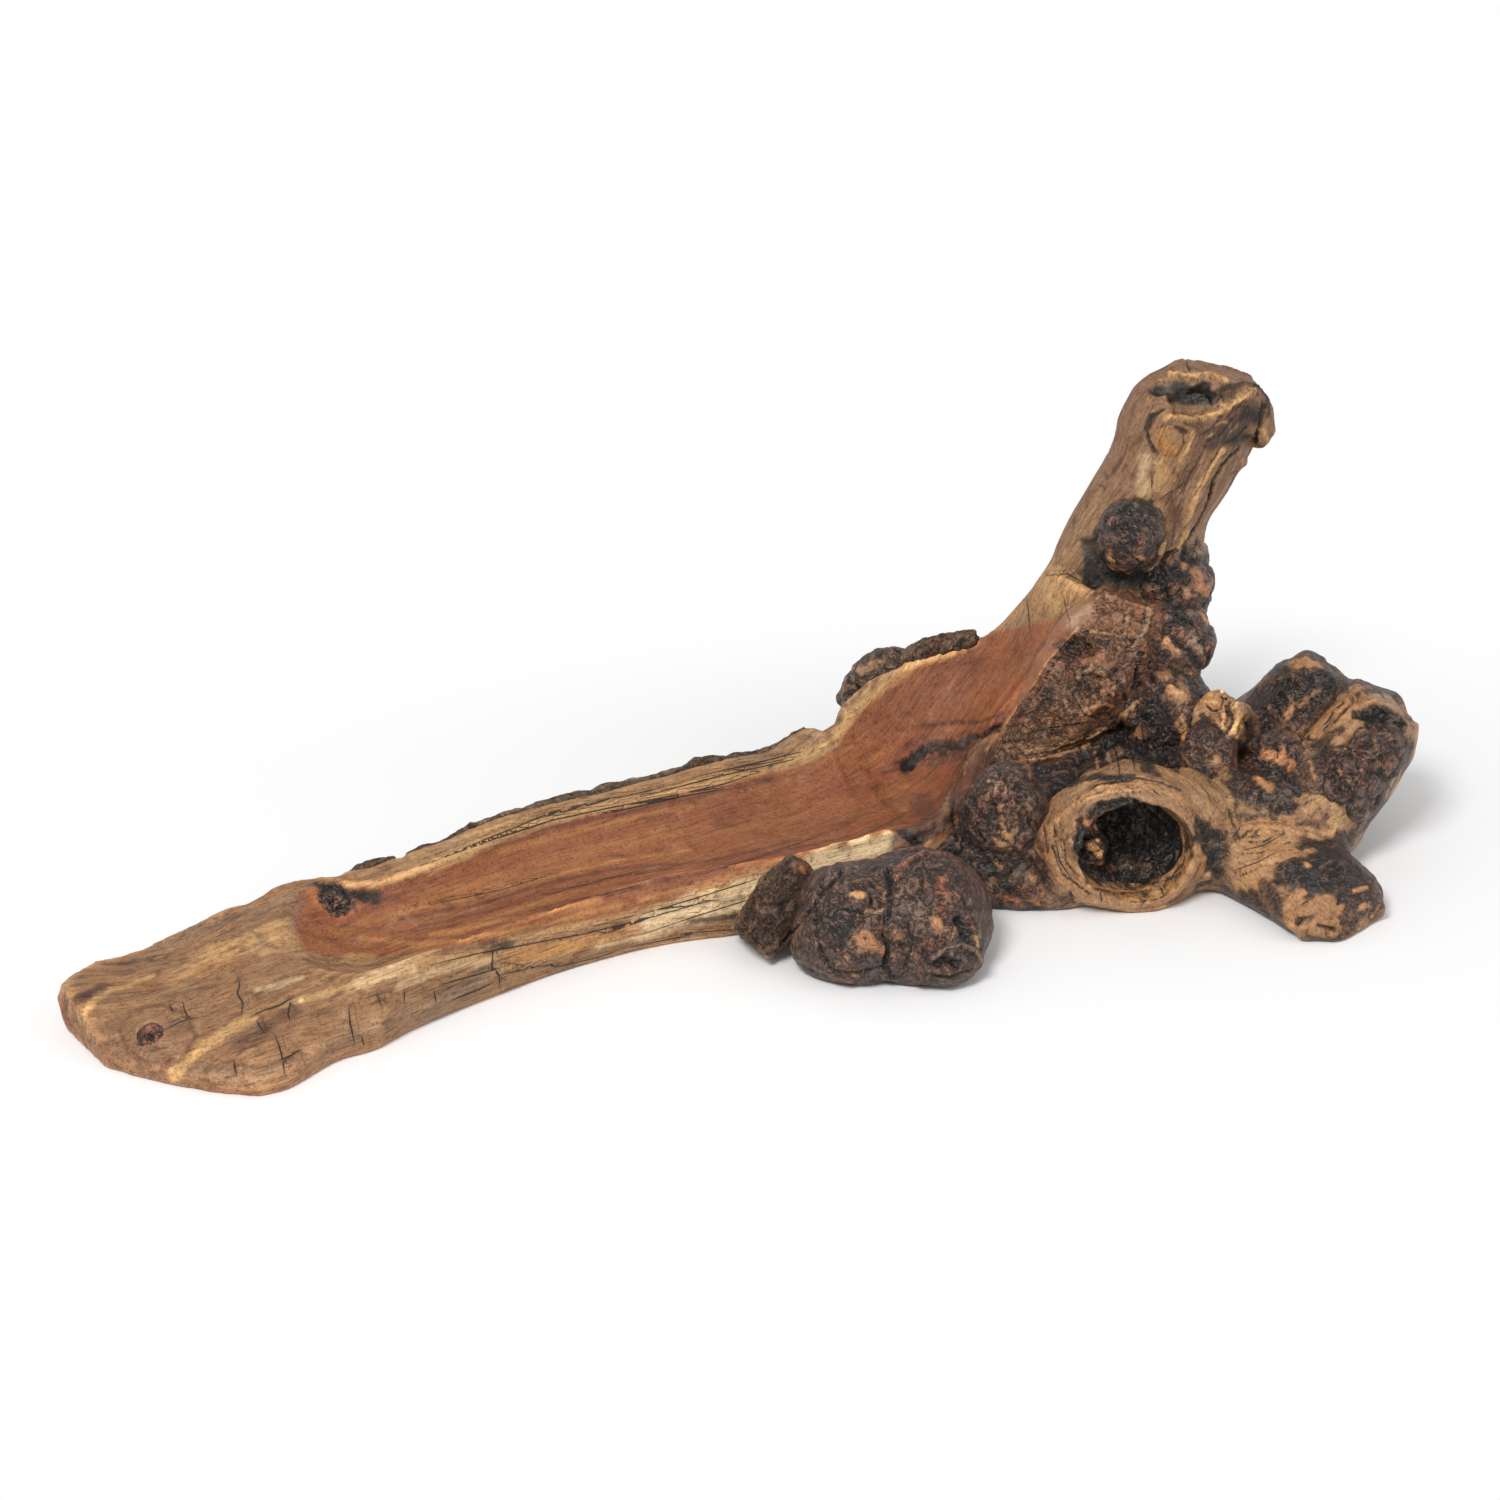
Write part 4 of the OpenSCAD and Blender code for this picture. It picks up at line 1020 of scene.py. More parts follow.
TROUGH_ENDS = (
    ([(346, 884), (378, 884), (430, 867)], 11, TAN_LIGHT, 0.8, 0.5, dict(warp=0.35, only=LIMB)),
    ([(318, 884), (340, 890), (362, 897), (375, 897)], 15, SOOT_AND_SHADE, 0.95, -0.8, 0.3, dict(warp=0.8)),
    ([(330, 900), (338, 910), (352, 905)], 11, SOOT_AND_SHADE, 0.9, -1.2, dict(warp=0.8)),
    ([(372, 897), (396, 898)], 8, UMBER, 0.6),
    (RAGGED_LIP, 30, HEART_DARK, 0.7, -0.4),
    (RAGGED_LIP, 12, SOOT_AND_SHADE, 1.0, -2.6, dict(warp=0.9)),
    ([(906, 766), (926, 752), (948, 748), (966, 742)], 17, SOOT_AND_SHADE, 1.0, -1.6, dict(warp=1.0)),
    ([(912, 762), (936, 762), (972, 752)], 9, UMBER, 0.9, 0.9, dict(warp=1.0)),
    ([(930, 752), (960, 748), (990, 740)], 26, UMBER, 0.55, 0, dict(warp=0.8)),
    ([(922, 726), (950, 722), (978, 722), (1002, 714)], 6, HEART_DARK, 0.8, -0.3, dict(warp=0.9)),
    ([(900, 768), (885, 772)], 6, HEART_DARK, 0.7, -0.4, dict(warp=0.35)),
    ([(926, 754), (950, 752)], 5, RUST, 0.7, 1.0),
    ([(955, 738), (975, 730)], 5, UMBER, 0.6, 0.6),
)

STEM_STREAKS = (
    ([(1160, 376), (1135, 398), (1118, 430)], 26, TIP_BROWN, 0.5, 0),
    ([(1186, 366), (1210, 366), (1232, 378)], 10, TIP_BROWN, 0.6, 0),
    ([(1170, 374), (1186, 376), (1210, 376), (1226, 382)], 12, TAN_LIGHT, 0.6, 1.6),
    ([(1186, 362), (1190, 370)], 5, UMBER, 0.7, -0.9),
    ([(1160, 380), (1174, 378)], 8, TAN_LIGHT, 0.5, 0.4),
    ([(1113, 440), (1105, 480), (1085, 520), (1060, 560)], 36, STEM_BROWN, 0.6, 0),
    ([(1128, 455), (1118, 480), (1100, 500)], 18, TIP_BROWN, 0.45, 0),
    ([(1146, 458), (1142, 474), (1144, 492)], 15, CREAM, 0.6, 0.4),
    ([(1162, 464), (1160, 480), (1146, 496)], 16, STRAW, 0.7, 0.4),
    ([(1095, 505), (1060, 560), (1020, 612)], 24, TAN_LIGHT, 0.3, 0),
    ([(1130, 500), (1150, 498), (1170, 500)], 10, TAN_DARK, 0.5, 0),
    ([(1120, 490), (1128, 506)], 8, TIP_BROWN, 0.5, 0),
    ([(1200, 446), (1192, 464), (1176, 486), (1172, 504), (1178, 526)], 15, TAN_DARK, 0.8, -0.5),
    ([(1206, 446), (1196, 466), (1182, 486)], 5, UMBER, 0.85, -0.6),
    ([(1192, 462), (1180, 480), (1174, 500)], 3, UMBER, 0.85, -0.4),
    ([(1200, 464), (1186, 486), (1178, 510)], 3, UMBER, 0.85, -0.4),
    ([(1172, 500), (1176, 520), (1172, 545)], 4, UMBER, 0.7, -0.4),
    ([(1184, 500), (1178, 522)], 3, UMBER, 0.7, -0.3),
    ([(1206, 434), (1228, 420), (1248, 406)], 28, UMBER, 0.8, 0),
    ([(1216, 440), (1236, 432), (1254, 412)], 32, BARK, 0.9, 0),
    ([(1200, 436), (1212, 428), (1222, 416)], 4, BARK, 0.9, -0.5),
    ([(1208, 442), (1222, 434), (1232, 420)], 4, BARK, 0.9, -0.6),
    ([(1222, 446), (1236, 438), (1246, 428)], 5, SOOT_AND_SHADE, 0.85, -0.6),
    ([(1228, 416), (1240, 406)], 4, BARK, 0.8, -0.4),
    ([(1216, 424), (1226, 422)], 4, TAN, 0.7, 0.4),
    ([(1230, 432), (1238, 424)], 4, TAN, 0.6, 0.4),
    ([(1206, 438), (1212, 434)], 3, TAN_LIGHT, 0.6, 0.3),
    ([(1163, 410), (1150, 417), (1146, 428), (1149, 442), (1156, 452)], 6, SOOT_AND_SHADE, 0.9, -0.9),
    ([(1152, 418), (1149, 426)], 9, SOOT_AND_SHADE, 0.95, -0.5),
    ([(1066, 524), (1074, 520)], 9, UMBER, 0.75, 0),
    ([(1105, 473), (1108, 479)], 5, UMBER, 0.75, 0),
    ([(1098, 484), (1104, 487)], 3, UMBER, 0.7, 0),
    ([(1248, 412), (1256, 418)], 17, SOOT_AND_SHADE, 0.95, 0.3),
    ([(1234, 440), (1246, 436)], 14, SOOT_AND_SHADE, 0.8, 0),
    ([(1216, 394), (1228, 387), (1243, 383), (1258, 386), (1267, 398), (1268, 414)], 8, SOOT_AND_SHADE, 0.92, 0.7),
    ([(1224, 396), (1240, 392)], 10, UMBER, 0.8, -0.3),
    ([(1240, 452), (1234, 476), (1222, 498)], 12, ROSE, 0.8, 0),
    ([(1242, 458), (1240, 468)], 8, TAN_LIGHT, 0.7, 0.5),
    ([(1236, 480), (1228, 492)], 6, ORANGE, 0.8, 0.4),
    ([(1238, 470), (1230, 474)], 3, UMBER, 0.8, -0.6),
    ([(1262, 428), (1268, 440)], 9, TAN_LIGHT, 0.95, 0.5),
    ([(1258, 446), (1273, 448)], 4, SOOT_AND_SHADE, 0.9, 0),
    ([(1240, 448), (1226, 461), (1214, 480), (1209, 502), (1198, 523), (1190, 538), (1184, 556)], 8, SOOT_AND_SHADE,
     0.97, -1.7),
    ([(1222, 450), (1212, 465), (1200, 486), (1192, 508), (1186, 530), (1180, 552)], 13, TAN_LIGHT, 0.85,
     0.8),
    ([(1220, 452), (1208, 472), (1196, 496)], 5, STRAW, 0.6, 0.2),
    ([(1196, 500), (1188, 520), (1176, 548)], 3, TAN_DARK, 0.7, -0.3),
)

STEM_TOP_AND_NECK = (
    ([(1168, 417), (1194, 421), (1216, 413), (1234, 402), (1252, 391)], 14, TAN_LIGHT, 0.85, 1.8,
     dict(edge=0.9, only=LIMB)),
    ([(1176, 416), (1196, 418), (1214, 411)], 6, STRAW, 0.7, 0.3, dict(warp=0.6, edge=0.9, only=LIMB)),
    ([(1228, 404), (1240, 396), (1250, 390)], 6, STRAW, 0.6, 0.3, dict(warp=0.6, edge=0.9, only=LIMB)),
    ([(1158, 390), (1176, 390), (1202, 391)], 20, SOOT_AND_SHADE, 0.98, -1.5, 0.5, dict(warp=0.6)),
    ([(1176, 396), (1192, 398), (1205, 398)], 25, SOOT_AND_SHADE, 1.0, -4.0, 0.75, dict(warp=0.3)),
    ([(1210, 400), (1214, 394)], 8, SOOT_AND_SHADE, 0.9, -0.5, dict(warp=0.7)),
    # painted highlight: a grey spot inside the top hollow
    ([(1176, 391), (1186, 392)], 6, GREY_BROWN, 0.5, 0.4, 0.9),
    ([(1216, 402), (1222, 396)], 3, SOOT_AND_SHADE, 0.9, -0.5, dict(warp=0.35)),
    ([(1168, 440)], 38, TAN, 0.75, 1.0, dict(warp=0.4, edge=0.8)),
    ([(1162, 432), (1164, 446), (1174, 452)], 16, HEART_GOLD, 0.9, 0.5, dict(warp=0.4, edge=0.8)),
    ([(1164, 436), (1168, 446)], 7, ORANGE, 0.7, 0.3, dict(warp=0.4, edge=0.9)),
    ([(1158, 428), (1170, 424), (1182, 430), (1184, 444), (1176, 456)], 3, TAN_DARK, 0.7, -0.5,
     dict(warp=0.6)),
    ([(1162, 436), (1168, 430), (1176, 436), (1176, 446)], 2.5, RUST, 0.6, -0.4, dict(warp=0.6)),
    ([(1178, 428), (1186, 432)], 9, UMBER, 0.9, -0.9, dict(warp=0.4)),
    ([(1192, 434), (1188, 448), (1180, 460)], 8, TAN_LIGHT, 0.7, 0.6, dict(edge=0.9)),
    ([(1047, 580), (1060, 595)], 56, STRAW, 0.6, 0.5, dict(warp=0.35, edge=0.9)),
    ([(1035, 612), (1075, 622)], 8, TAN_DARK, 0.3),
    ([(1030, 570), (1050, 562), (1078, 570), (1090, 588), (1090, 612)], 4, TAN_DARK, 0.5, -0.3,
     dict(edge=0.9)),
    # painted shadow: this row and the next lay a black band round the foot of the stem burl
    ([(1090, 546), (1092, 575), (1100, 586), (1125, 580), (1160, 576), (1184, 566), (1190, 552)], 26, SOOT_AND_SHADE,
     0.98, -0.8),
    ([(1104, 560), (1112, 574), (1150, 574)], 26, SOOT_AND_SHADE, 0.97, 0),
    ([(1092, 548), (1098, 528), (1110, 512), (1130, 504), (1150, 502)], 8, SOOT_AND_SHADE, 0.9, 0.6, dict(warp=0.6)),
    ([(1134, 530)], 90, BARK, 0.85, 0, 0.5, dict(warp=0.3, only=STEM_BURL)),
    ([(1120, 512), (1145, 506), (1165, 515), (1172, 532)], 15, SOOT_AND_SHADE, 0.85, -0.4,
     dict(warp=0.8, only=STEM_BURL)),
    ([(1118, 524), (1136, 530), (1128, 545)], 13, SOOT_AND_SHADE, 0.75, -0.6, dict(warp=0.9, only=STEM_BURL)),
    ([(1108, 550), (1113, 560)], 9, EYE_TAN, 0.6, 0.8, dict(warp=0.9, edge=0.9, only=STEM_BURL)),
    ([(1134, 555), (1142, 558)], 10, ORANGE, 0.6, 0.8, dict(warp=0.9, edge=0.9, only=STEM_BURL)),
    ([(1164, 542), (1158, 562), (1145, 572)], 9, TAN, 0.8, 0.8, dict(warp=0.7, only=STEM_BURL)),
    ([(1112, 566), (1128, 572)], 9, HEART_RED, 0.7, 0.4, dict(warp=0.7, only=STEM_BURL)),
    ([(1140, 534), (1142, 544)], 9, RUST, 0.6, 0.6, dict(warp=0.7, only=STEM_BURL)),
    ([(1264, 404), (1260, 424), (1254, 444)], 8, SOOT_AND_SHADE, 0.9, -1.6, dict(warp=0.6)),
    ([(1238, 470), (1224, 498), (1208, 524)], 7, HEART_DARK, 0.6, -0.3, dict(warp=0.8)),
    ([(1230, 404), (1246, 396), (1256, 394)], 9, BARK, 0.7, 0, dict(warp=0.9, edge=0.9, only=LIMB)),
)

STEM_CRACKS = (
    [(1152, 474), (1152, 492)],
    [(1186, 484), (1170, 492), (1160, 500)],
    [(1186, 466), (1178, 486), (1166, 504)],
    [(1226, 436), (1212, 462), (1200, 490)],
    [(1062, 590), (1066, 608), (1070, 625)],
    [(1027, 598), (1030, 630)],
    [(1222, 394), (1224, 404)],
    [(1192, 470), (1180, 495)],
    [(1212, 460), (1198, 490)],
    [(1046, 576), (1068, 574), (1086, 584)],
)

SLAB_EDGE = [(1078, 628), (1067, 640), (1047, 662), (1036, 681), (1012, 715), (986, 750)]

SLAB_PATCHES = (
    ([(1110, 590), (1124, 600), (1132, 622), (1112, 640)], 34, TIP_BROWN, 0.5, 0),
    ([(1070, 624), (1082, 612), (1090, 604)], 26, TIP_BROWN, 0.75, 0, dict(warp=0.6, only=None)),
    ([(1010, 748), (1040, 744), (1080, 734)], 22, TAN, 0.4, 0),
    ([(1124, 586), (1136, 596)], 9, TAN_LIGHT, 0.5, 0.5),
    (SLAB_EDGE, 3.5, TAN_LIGHT, 0.7, 0.4, dict(warp=0.5, edge=0.9, only=None)),
    ([(u + 6, v + 3) for u, v in SLAB_EDGE[1:]], 6, UMBER, 0.5, -0.5, dict(warp=0.6)),
)

CROWN_PATCHES = (
    ([(1000, 744), (1040, 746), (1080, 738), (1116, 722)], 30, TAN_DARK, 0.6, 0, 0.3),
    ([(1010, 752), (1050, 750), (1100, 730)], 9, TAN, 0.6, 0.5, 0.3),
    ([(1004, 742), (1030, 740), (1066, 732)], 5, UMBER, 0.8, -0.5, 0.3),
    ([(1024, 756), (1060, 748), (1096, 736)], 3, UMBER, 0.8, -0.5, 0.3),
    ([(1104, 606), (1124, 594), (1140, 608)], 30, HEART_RED, 0.7, 0, 0.45),
    # painted sheen: a grey streak on the reddish top of the slab
    ([(1110, 598), (1122, 590)], 9, GREY_BROWN, 0.8, 0.6, 0.7),
    ([(1096, 626), (1112, 620), (1130, 628)], 22, ORANGE, 0.55, 0.7, 0.4),
    ([(1092, 632), (1120, 636)], 6, TAN_LIGHT, 0.5, 0.5, 0.5),
    ([(1046, 696)], 26, SOOT_AND_SHADE, 0.85, -0.6, 0.5),
    ([(1042, 708), (1052, 686)], 14, SOOT_AND_SHADE, 0.75, -0.3, 0.5),
    ([(1066, 650), (1080, 643), (1104, 644)], 22, SOOT_AND_SHADE, 0.85, -0.5, 0.5),
    ([(1064, 660), (1078, 664)], 9, UMBER, 0.7, -0.3, 0.5),
    ([(1080, 688), (1096, 692)], 15, SOOT_AND_SHADE, 0.9, -0.9, 0.5),
    # painted highlight: a grey swirl on the slab, raised a little
    ([(1078, 676), (1090, 670), (1104, 674)], 10, BARK_GREY, 0.75, 1.0, 0.8),
    ([(1104, 684), (1112, 694)], 16, ORANGE, 0.7, 1.2, 0.45),
    ([(1116, 672), (1122, 690)], 8, UMBER, 0.8, -0.8, 0.5),
    ([(1050, 668), (1060, 676)], 13, TAN_DARK, 0.8, 0.6, 0.4),
    ([(1062, 690), (1068, 712), (1060, 724)], 16, TAN_DARK, 0.7, 0.5, 0.4),
    ([(1064, 700), (1072, 716)], 6, TAN, 0.6, 0.4, 0.4),
    ([(1028, 712), (1020, 728)], 12, RUST, 0.7, 0.3, 0.4),
    ([(1084, 712), (1102, 704), (1114, 706)], 10, TAN, 0.6, 0.7, 0.4),
    ([(1092, 716), (1110, 714)], 5, UMBER, 0.8, -0.6, 0.4),
    ([(1120, 650), (1128, 640)], 9, TAN_DARK, 0.8, 0.7, 0.4),
    # painted sheen: a grey band along the right edge of the slab, raised a little
    ([(1150, 610), (1146, 626), (1136, 646)], 11, BARK_GREY, 0.8, 1.2, 0.8),
    ([(1136, 652), (1142, 668)], 8, TAN_DARK, 0.7, 0.6, 0.5),
    ([(1085, 738), (1114, 724), (1140, 700)], 6, TAN, 0.75, 1.0, 0.3),
    ([(1030, 760), (1060, 755), (1088, 745)], 6, TAN, 0.7, 0.9, 0.3),
    ([(1016, 750), (1024, 764), (1030, 776)], 16, RUST, 0.8, 1.0, 0.4),
    ([(1060, 788), (1090, 778), (1130, 778)], 15, SOOT_AND_SHADE, 0.95, 0, 0.8),
    ([(1036, 772), (1080, 762), (1105, 750), (1135, 724)], 12, SOOT_AND_SHADE, 0.97, -1.2, 0.6),
    ([(1110, 727), (1125, 745), (1150, 770)], 26, SOOT_AND_SHADE, 0.85, 0, 0.6),
    ([(1150, 715), (1160, 745)], 18, SOOT_AND_SHADE, 0.9, 0, 0.7),
    ([(1090, 765), (1120, 756)], 5, TAN_DARK, 0.7, 0.6, 0.7),
    # painted highlights: this row and the next are grey streaks of shine on the black
    ([(1106, 756), (1112, 768)], 3, GREY_BROWN, 0.7, 0.4, 0.9),
    ([(1120, 752), (1128, 766)], 3, GREY_BROWN, 0.7, 0.4, 0.9),
    ([(1140, 655), (1136, 685)], 10, SOOT_AND_SHADE, 0.97, -2.2, 0.5),
    ([(1124, 694), (1130, 712)], 5, SOOT_AND_SHADE, 0.9, -1.4, 0.5),
    ([(1165, 592), (1188, 622)], 14, SOOT_AND_SHADE, 0.85, -1.0, 0.5),
    ([(1168, 622), (1192, 624)], 8, SOOT_AND_SHADE, 0.95, -1.4, 0.5),
    ([(1188, 540), (1196, 552)], 16, GREY_BROWN, 0.5, 0.5, 0.4),
    ([(1186, 566), (1200, 576)], 14, ORANGE, 0.6, 0.6, 0.4),
    ([(1200, 585), (1206, 596)], 12, HEART_RED, 0.7, 0.5, 0.4),
    ([(1164, 596), (1176, 588)], 10, TAN_DARK, 0.7, 0.6, 0.4),
    ([(1150, 592), (1156, 602)], 9, HEART_RED, 0.6, 0.4, 0.4),
    # painted highlight: a grey glint on the crown burls
    ([(1192, 640), (1200, 650)], 12, BARK_GREY, 0.95, 0.6, 0.95),
    ([(1160, 640), (1176, 650), (1172, 664)], 14, TAN_DARK, 0.8, 0.8, 0.6),
    ([(1164, 674), (1180, 684), (1186, 700)], 22, TAN_DARK, 0.8, 0.8, 0.5),
    ([(1170, 686), (1178, 694)], 7, STRAW, 0.6, 0.5, 0.5),
    ([(1176, 672), (1186, 668)], 6, SOOT_AND_SHADE, 0.9, -0.9, 0.5),
    ([(1154, 700), (1160, 716)], 10, SOOT_AND_SHADE, 0.95, -1.2, 0.7),
    ([(1182, 715), (1186, 735)], 6, TAN, 0.7, 0.6, 0.4),
    ([(1030, 800), (1045, 785)], 12, BARK, 0.8, 0, 0.6),
    ([(1204, 604), (1212, 580)], 8, TAN_DARK, 0.6, 0.6, 0.4),
)

CROWN_CRACKS = (
    [(1110, 735), (1118, 760), (1120, 775)],
    [(1125, 725), (1132, 755), (1135, 770)],
    [(1140, 720), (1146, 750), (1150, 775)],
    [(1020, 735), (1050, 728), (1090, 722)],
    [(1070, 690), (1085, 715), (1105, 720)],
)

# painted highlights: the lighter spots stand for glints on the burls; the black rows are pits and shiny black
# patches
GLINTS = (
    ([(1165, 640), (1176, 650)], 10, ARM_TAN, 0.75, 0.6, 0.2),
    ([(1192, 642), (1200, 654)], 12, GREY_BROWN, 0.75, 0.4, 0.7),
    ([(1168, 690), (1180, 700)], 9, ORANGE, 0.75, 0.6, 0.2),
    ([(1150, 664), (1156, 690)], 8, SOOT_AND_SHADE, 0.75, -1.0, 0.8),
    ([(1178, 668), (1196, 676)], 8, TAN_DARK, 0.75, 0.5, 0.2),
    ([(1144, 720), (1160, 735)], 16, SOOT_AND_SHADE, 0.75, -1.0, 0.8),
    ([(1104, 748), (1112, 768)], 6, GREY_BROWN, 0.75, 0.3, 0.9),
    ([(1118, 744), (1126, 766)], 5, TAN_DARK, 0.75, 0.3, 0.7),
    ([(1094, 752), (1098, 768)], 4, ROSE, 0.75, 0.3, 0.5),
    ([(1176, 722), (1184, 738)], 8, ARM_TAN, 0.75, 0.6, 0.2),
    ([(1200, 612), (1206, 622)], 8, ARM_TAN, 0.75, 0.5, 0.2),
    ([(1186, 590), (1196, 600)], 10, TIP_BROWN, 0.75, 0.5, 0.2),
    ([(1170, 612), (1190, 622)], 9, SOOT_AND_SHADE, 0.75, -1.4, 0.8),
    ([(1206, 648), (1204, 664)], 5, TAN, 0.75, 0.4, 0.2),
    ([(1150, 748), (1176, 770)], 12, SOOT_AND_SHADE, 0.75, -0.8, 0.9),
    ([(1182, 752), (1190, 764)], 7, TAN_DARK, 0.75, 0.5, 0.5),
    ([(1128, 618), (1120, 648)], 8, GREY_BROWN, 0.75, 0.6, 0.3),
    ([(1140, 600), (1152, 608)], 6, TAN_DARK, 0.75, 0.6, 0.3),
)

HUMP_PATCHES = (
    ([(850, 676), (870, 655), (895, 660)], 70, BARK_GREY, 0.55, 0, 0.2, dict(warp=0.5)),
    ([(862, 670), (880, 662)], 12, TAN, 0.7, 0.4, 0.2, dict(warp=0.7)),
    ([(848, 682), (858, 662)], 7, UMBER, 0.8, -0.4),
    ([(893, 655), (905, 656)], 6, UMBER, 0.7, -0.3),
    ([(816, 734), (828, 706), (845, 690), (868, 680)], 14, GREY_BROWN, 0.7, 0.3, 0.1,
     dict(warp=0.5, only=LIMB)),
    ([(820, 728), (832, 704)], 5, UMBER, 0.5, -0.3, dict(only=LIMB)),
)

MIDDLE_PATCHES = (
    ([(972, 752), (958, 784), (946, 812), (926, 826), (904, 836)], 30, UMBER, 0.9, 0.8),
    ([(982, 742), (966, 768)], 12, TAN_DARK, 0.8, 0.4),
    ([(966, 764), (954, 790), (944, 812)], 7, BARK_GREY, 0.8, 1.0),
    ([(950, 818), (932, 832), (912, 842)], 18, SOOT_AND_SHADE, 0.85, -0.6),
    ([(934, 812), (920, 822)], 8, RUST, 0.7, 0.6),
    ([(960, 800), (970, 840), (990, 865)], 26, SOOT_AND_SHADE, 0.5, -0.8),
    ([(1000, 785), (985, 800), (975, 820)], 14, RUST, 0.6, 1.0),
    ([(1010, 795), (1022, 815)], 16, RUST, 0.5, 1.2),
    ([(1000, 805), (1004, 830), (1012, 842)], 9, ORANGE, 0.6, 0.8),
    ([(992, 838), (1005, 845)], 7, EYE_TAN, 0.5, 0.5),
    ([(1015, 850), (1030, 835)], 12, RUST, 0.5, 0.9),
    ([(988, 856), (1000, 866)], 7, ORANGE, 0.5, 0.6),
    ([(1028, 818), (1030, 825)], 6, SOOT_AND_SHADE, 0.8, -1.2),
    ([(978, 832), (985, 840)], 7, SOOT_AND_SHADE, 0.8, -1.2),
    ([(949, 794), (941, 822)], 16, BARK_GREY, 0.6, 0.4),
    ([(958, 778), (953, 810), (956, 840)], 5, SOOT_AND_SHADE, 0.8, -1.2),
    # painted highlight: a cream glint on the mid burl
    ([(989, 781)], 5, CREAM, 0.5, 0.2),
    ([(903, 832), (918, 845)], 12, SOOT_AND_SHADE, 0.95, -1.5),
    ([(920, 800), (935, 830)], 26, UMBER, 0.7, 0),
    ([(950, 850), (965, 868)], 12, SOOT_AND_SHADE, 0.9, -1.0),
    ([(1010, 880), (1030, 870)], 18, BARK_GREY, 0.5, 0),
    ([(995, 880), (985, 890)], 10, ORANGE, 0.4, 0.5),
    ([(1000, 900), (1010, 885)], 12, BARK, 0.7, 0),
)

FRONT_BURL_PATCHES = (
    ([(846, 884), (870, 880), (884, 892), (884, 905)], 7, TAN_DARK, 0.55, 0.9),
    ([(836, 885), (834, 900)], 7, TAN_DARK, 0.5, 0.5),
    ([(856, 897)], 24, UMBER, 0.8, 0.8),
    ([(852, 895), (862, 894)], 9, EYE_TAN, 0.9, 0.9),
    ([(856, 901)], 6, TAN, 0.5, 0.3),
    ([(871, 891), (871, 906)], 4, SOOT_AND_SHADE, 1.0, -2.0),
    ([(872, 914), (882, 911)], 5, TAN, 0.7, 0.5),
    ([(838, 908), (858, 912), (884, 918)], 5, SOOT_AND_SHADE, 0.7, -0.7),
    ([(862, 942), (874, 946)], 25, ORANGE, 0.7, 2.0),
    ([(868, 948)], 12, EYE_TAN, 0.5, 0.3),
    ([(838, 950), (848, 955)], 8, RUST, 0.7, 0.6),
    ([(836, 932), (850, 928)], 18, SOOT_AND_SHADE, 0.5, -0.4),
    ([(845, 956), (850, 962)], 4, TAN, 0.6, 0.2),
    ([(888, 870), (890, 893), (886, 920), (884, 937), (888, 946), (885, 967), (895, 984)], 7, SOOT_AND_SHADE, 1.0,
     -2.8),
    ([(822, 880), (815, 910), (816, 940), (826, 962)], 6, SOOT_AND_SHADE, 0.8, -1.2),
    ([(828, 968), (850, 974), (882, 967)], 6, SOOT_AND_SHADE, 0.85, -1.2),
    ([(790, 955), (820, 970), (850, 982)], 10, RUST, 0.6, 0.6),
    ([(850, 974), (858, 976)], 5, TAN, 0.6, 0.3),
    ([(845, 984), (890, 988)], 8, BARK_GREY, 0.5, 0),
    ([(898, 935)], 18, RUST, 0.8, 1.2),
    ([(898, 934)], 9, TAN_DARK, 0.7, 0.5),
    ([(896, 956)], 18, UMBER, 0.9, 1.2),
    ([(894, 955)], 8, BARK_GREY, 0.7, 0.4),
    ([(908, 926), (912, 945), (905, 966)], 4, SOOT_AND_SHADE, 0.7, -0.9),
    ([(905, 944), (890, 946)], 3, SOOT_AND_SHADE, 0.9, -0.8),
    ([(926, 940), (914, 952), (920, 968)], 14, RUST, 0.6, 0.6),
    ([(926, 930), (922, 950), (930, 966)], 4, SOOT_AND_SHADE, 0.7, -0.8),
    ([(900, 866), (925, 852), (950, 856)], 9, RUST, 0.7, 0.8),
    ([(905, 852), (930, 850), (944, 856)], 4, SOOT_AND_SHADE, 0.8, -1.0),
    ([(896, 880), (906, 866)], 7, HEART_RED, 0.6, 0.4),
    ([(921, 882), (922, 890)], 6, SOOT_AND_SHADE, 0.9, -1.4),
    ([(914, 882), (928, 886)], 12, TAN_DARK, 0.5, 0.6),
    ([(940, 880), (946, 900), (940, 918)], 20, HEART_RED, 0.65, 0.9),
    ([(950, 905), (958, 895)], 12, RUST, 0.6, 0.6),
    ([(934, 920), (940, 930)], 12, ORANGE, 0.75, 0.8),
    ([(932, 948), (940, 940)], 9, HEART_RED, 0.6, 0.4),
    ([(958, 920), (964, 932), (972, 942)], 13, SOOT_AND_SHADE, 0.95, -2.4),
    ([(966, 912), (974, 928)], 5, RUST, 0.8, 0.8),
    ([(954, 930), (950, 940)], 5, ORANGE, 0.6, 0.6),
    ([(968, 900), (976, 920), (980, 935)], 9, BARK_GREY, 0.5, 0.6),
    ([(910, 900), (924, 915)], 22, GREY_BROWN, 0.35, 0),
    ([(960, 868), (972, 888)], 12, UMBER, 0.6, 0.5),
    ([(976, 938), (978, 946)], 6, TAN, 0.7, 0.3),
)

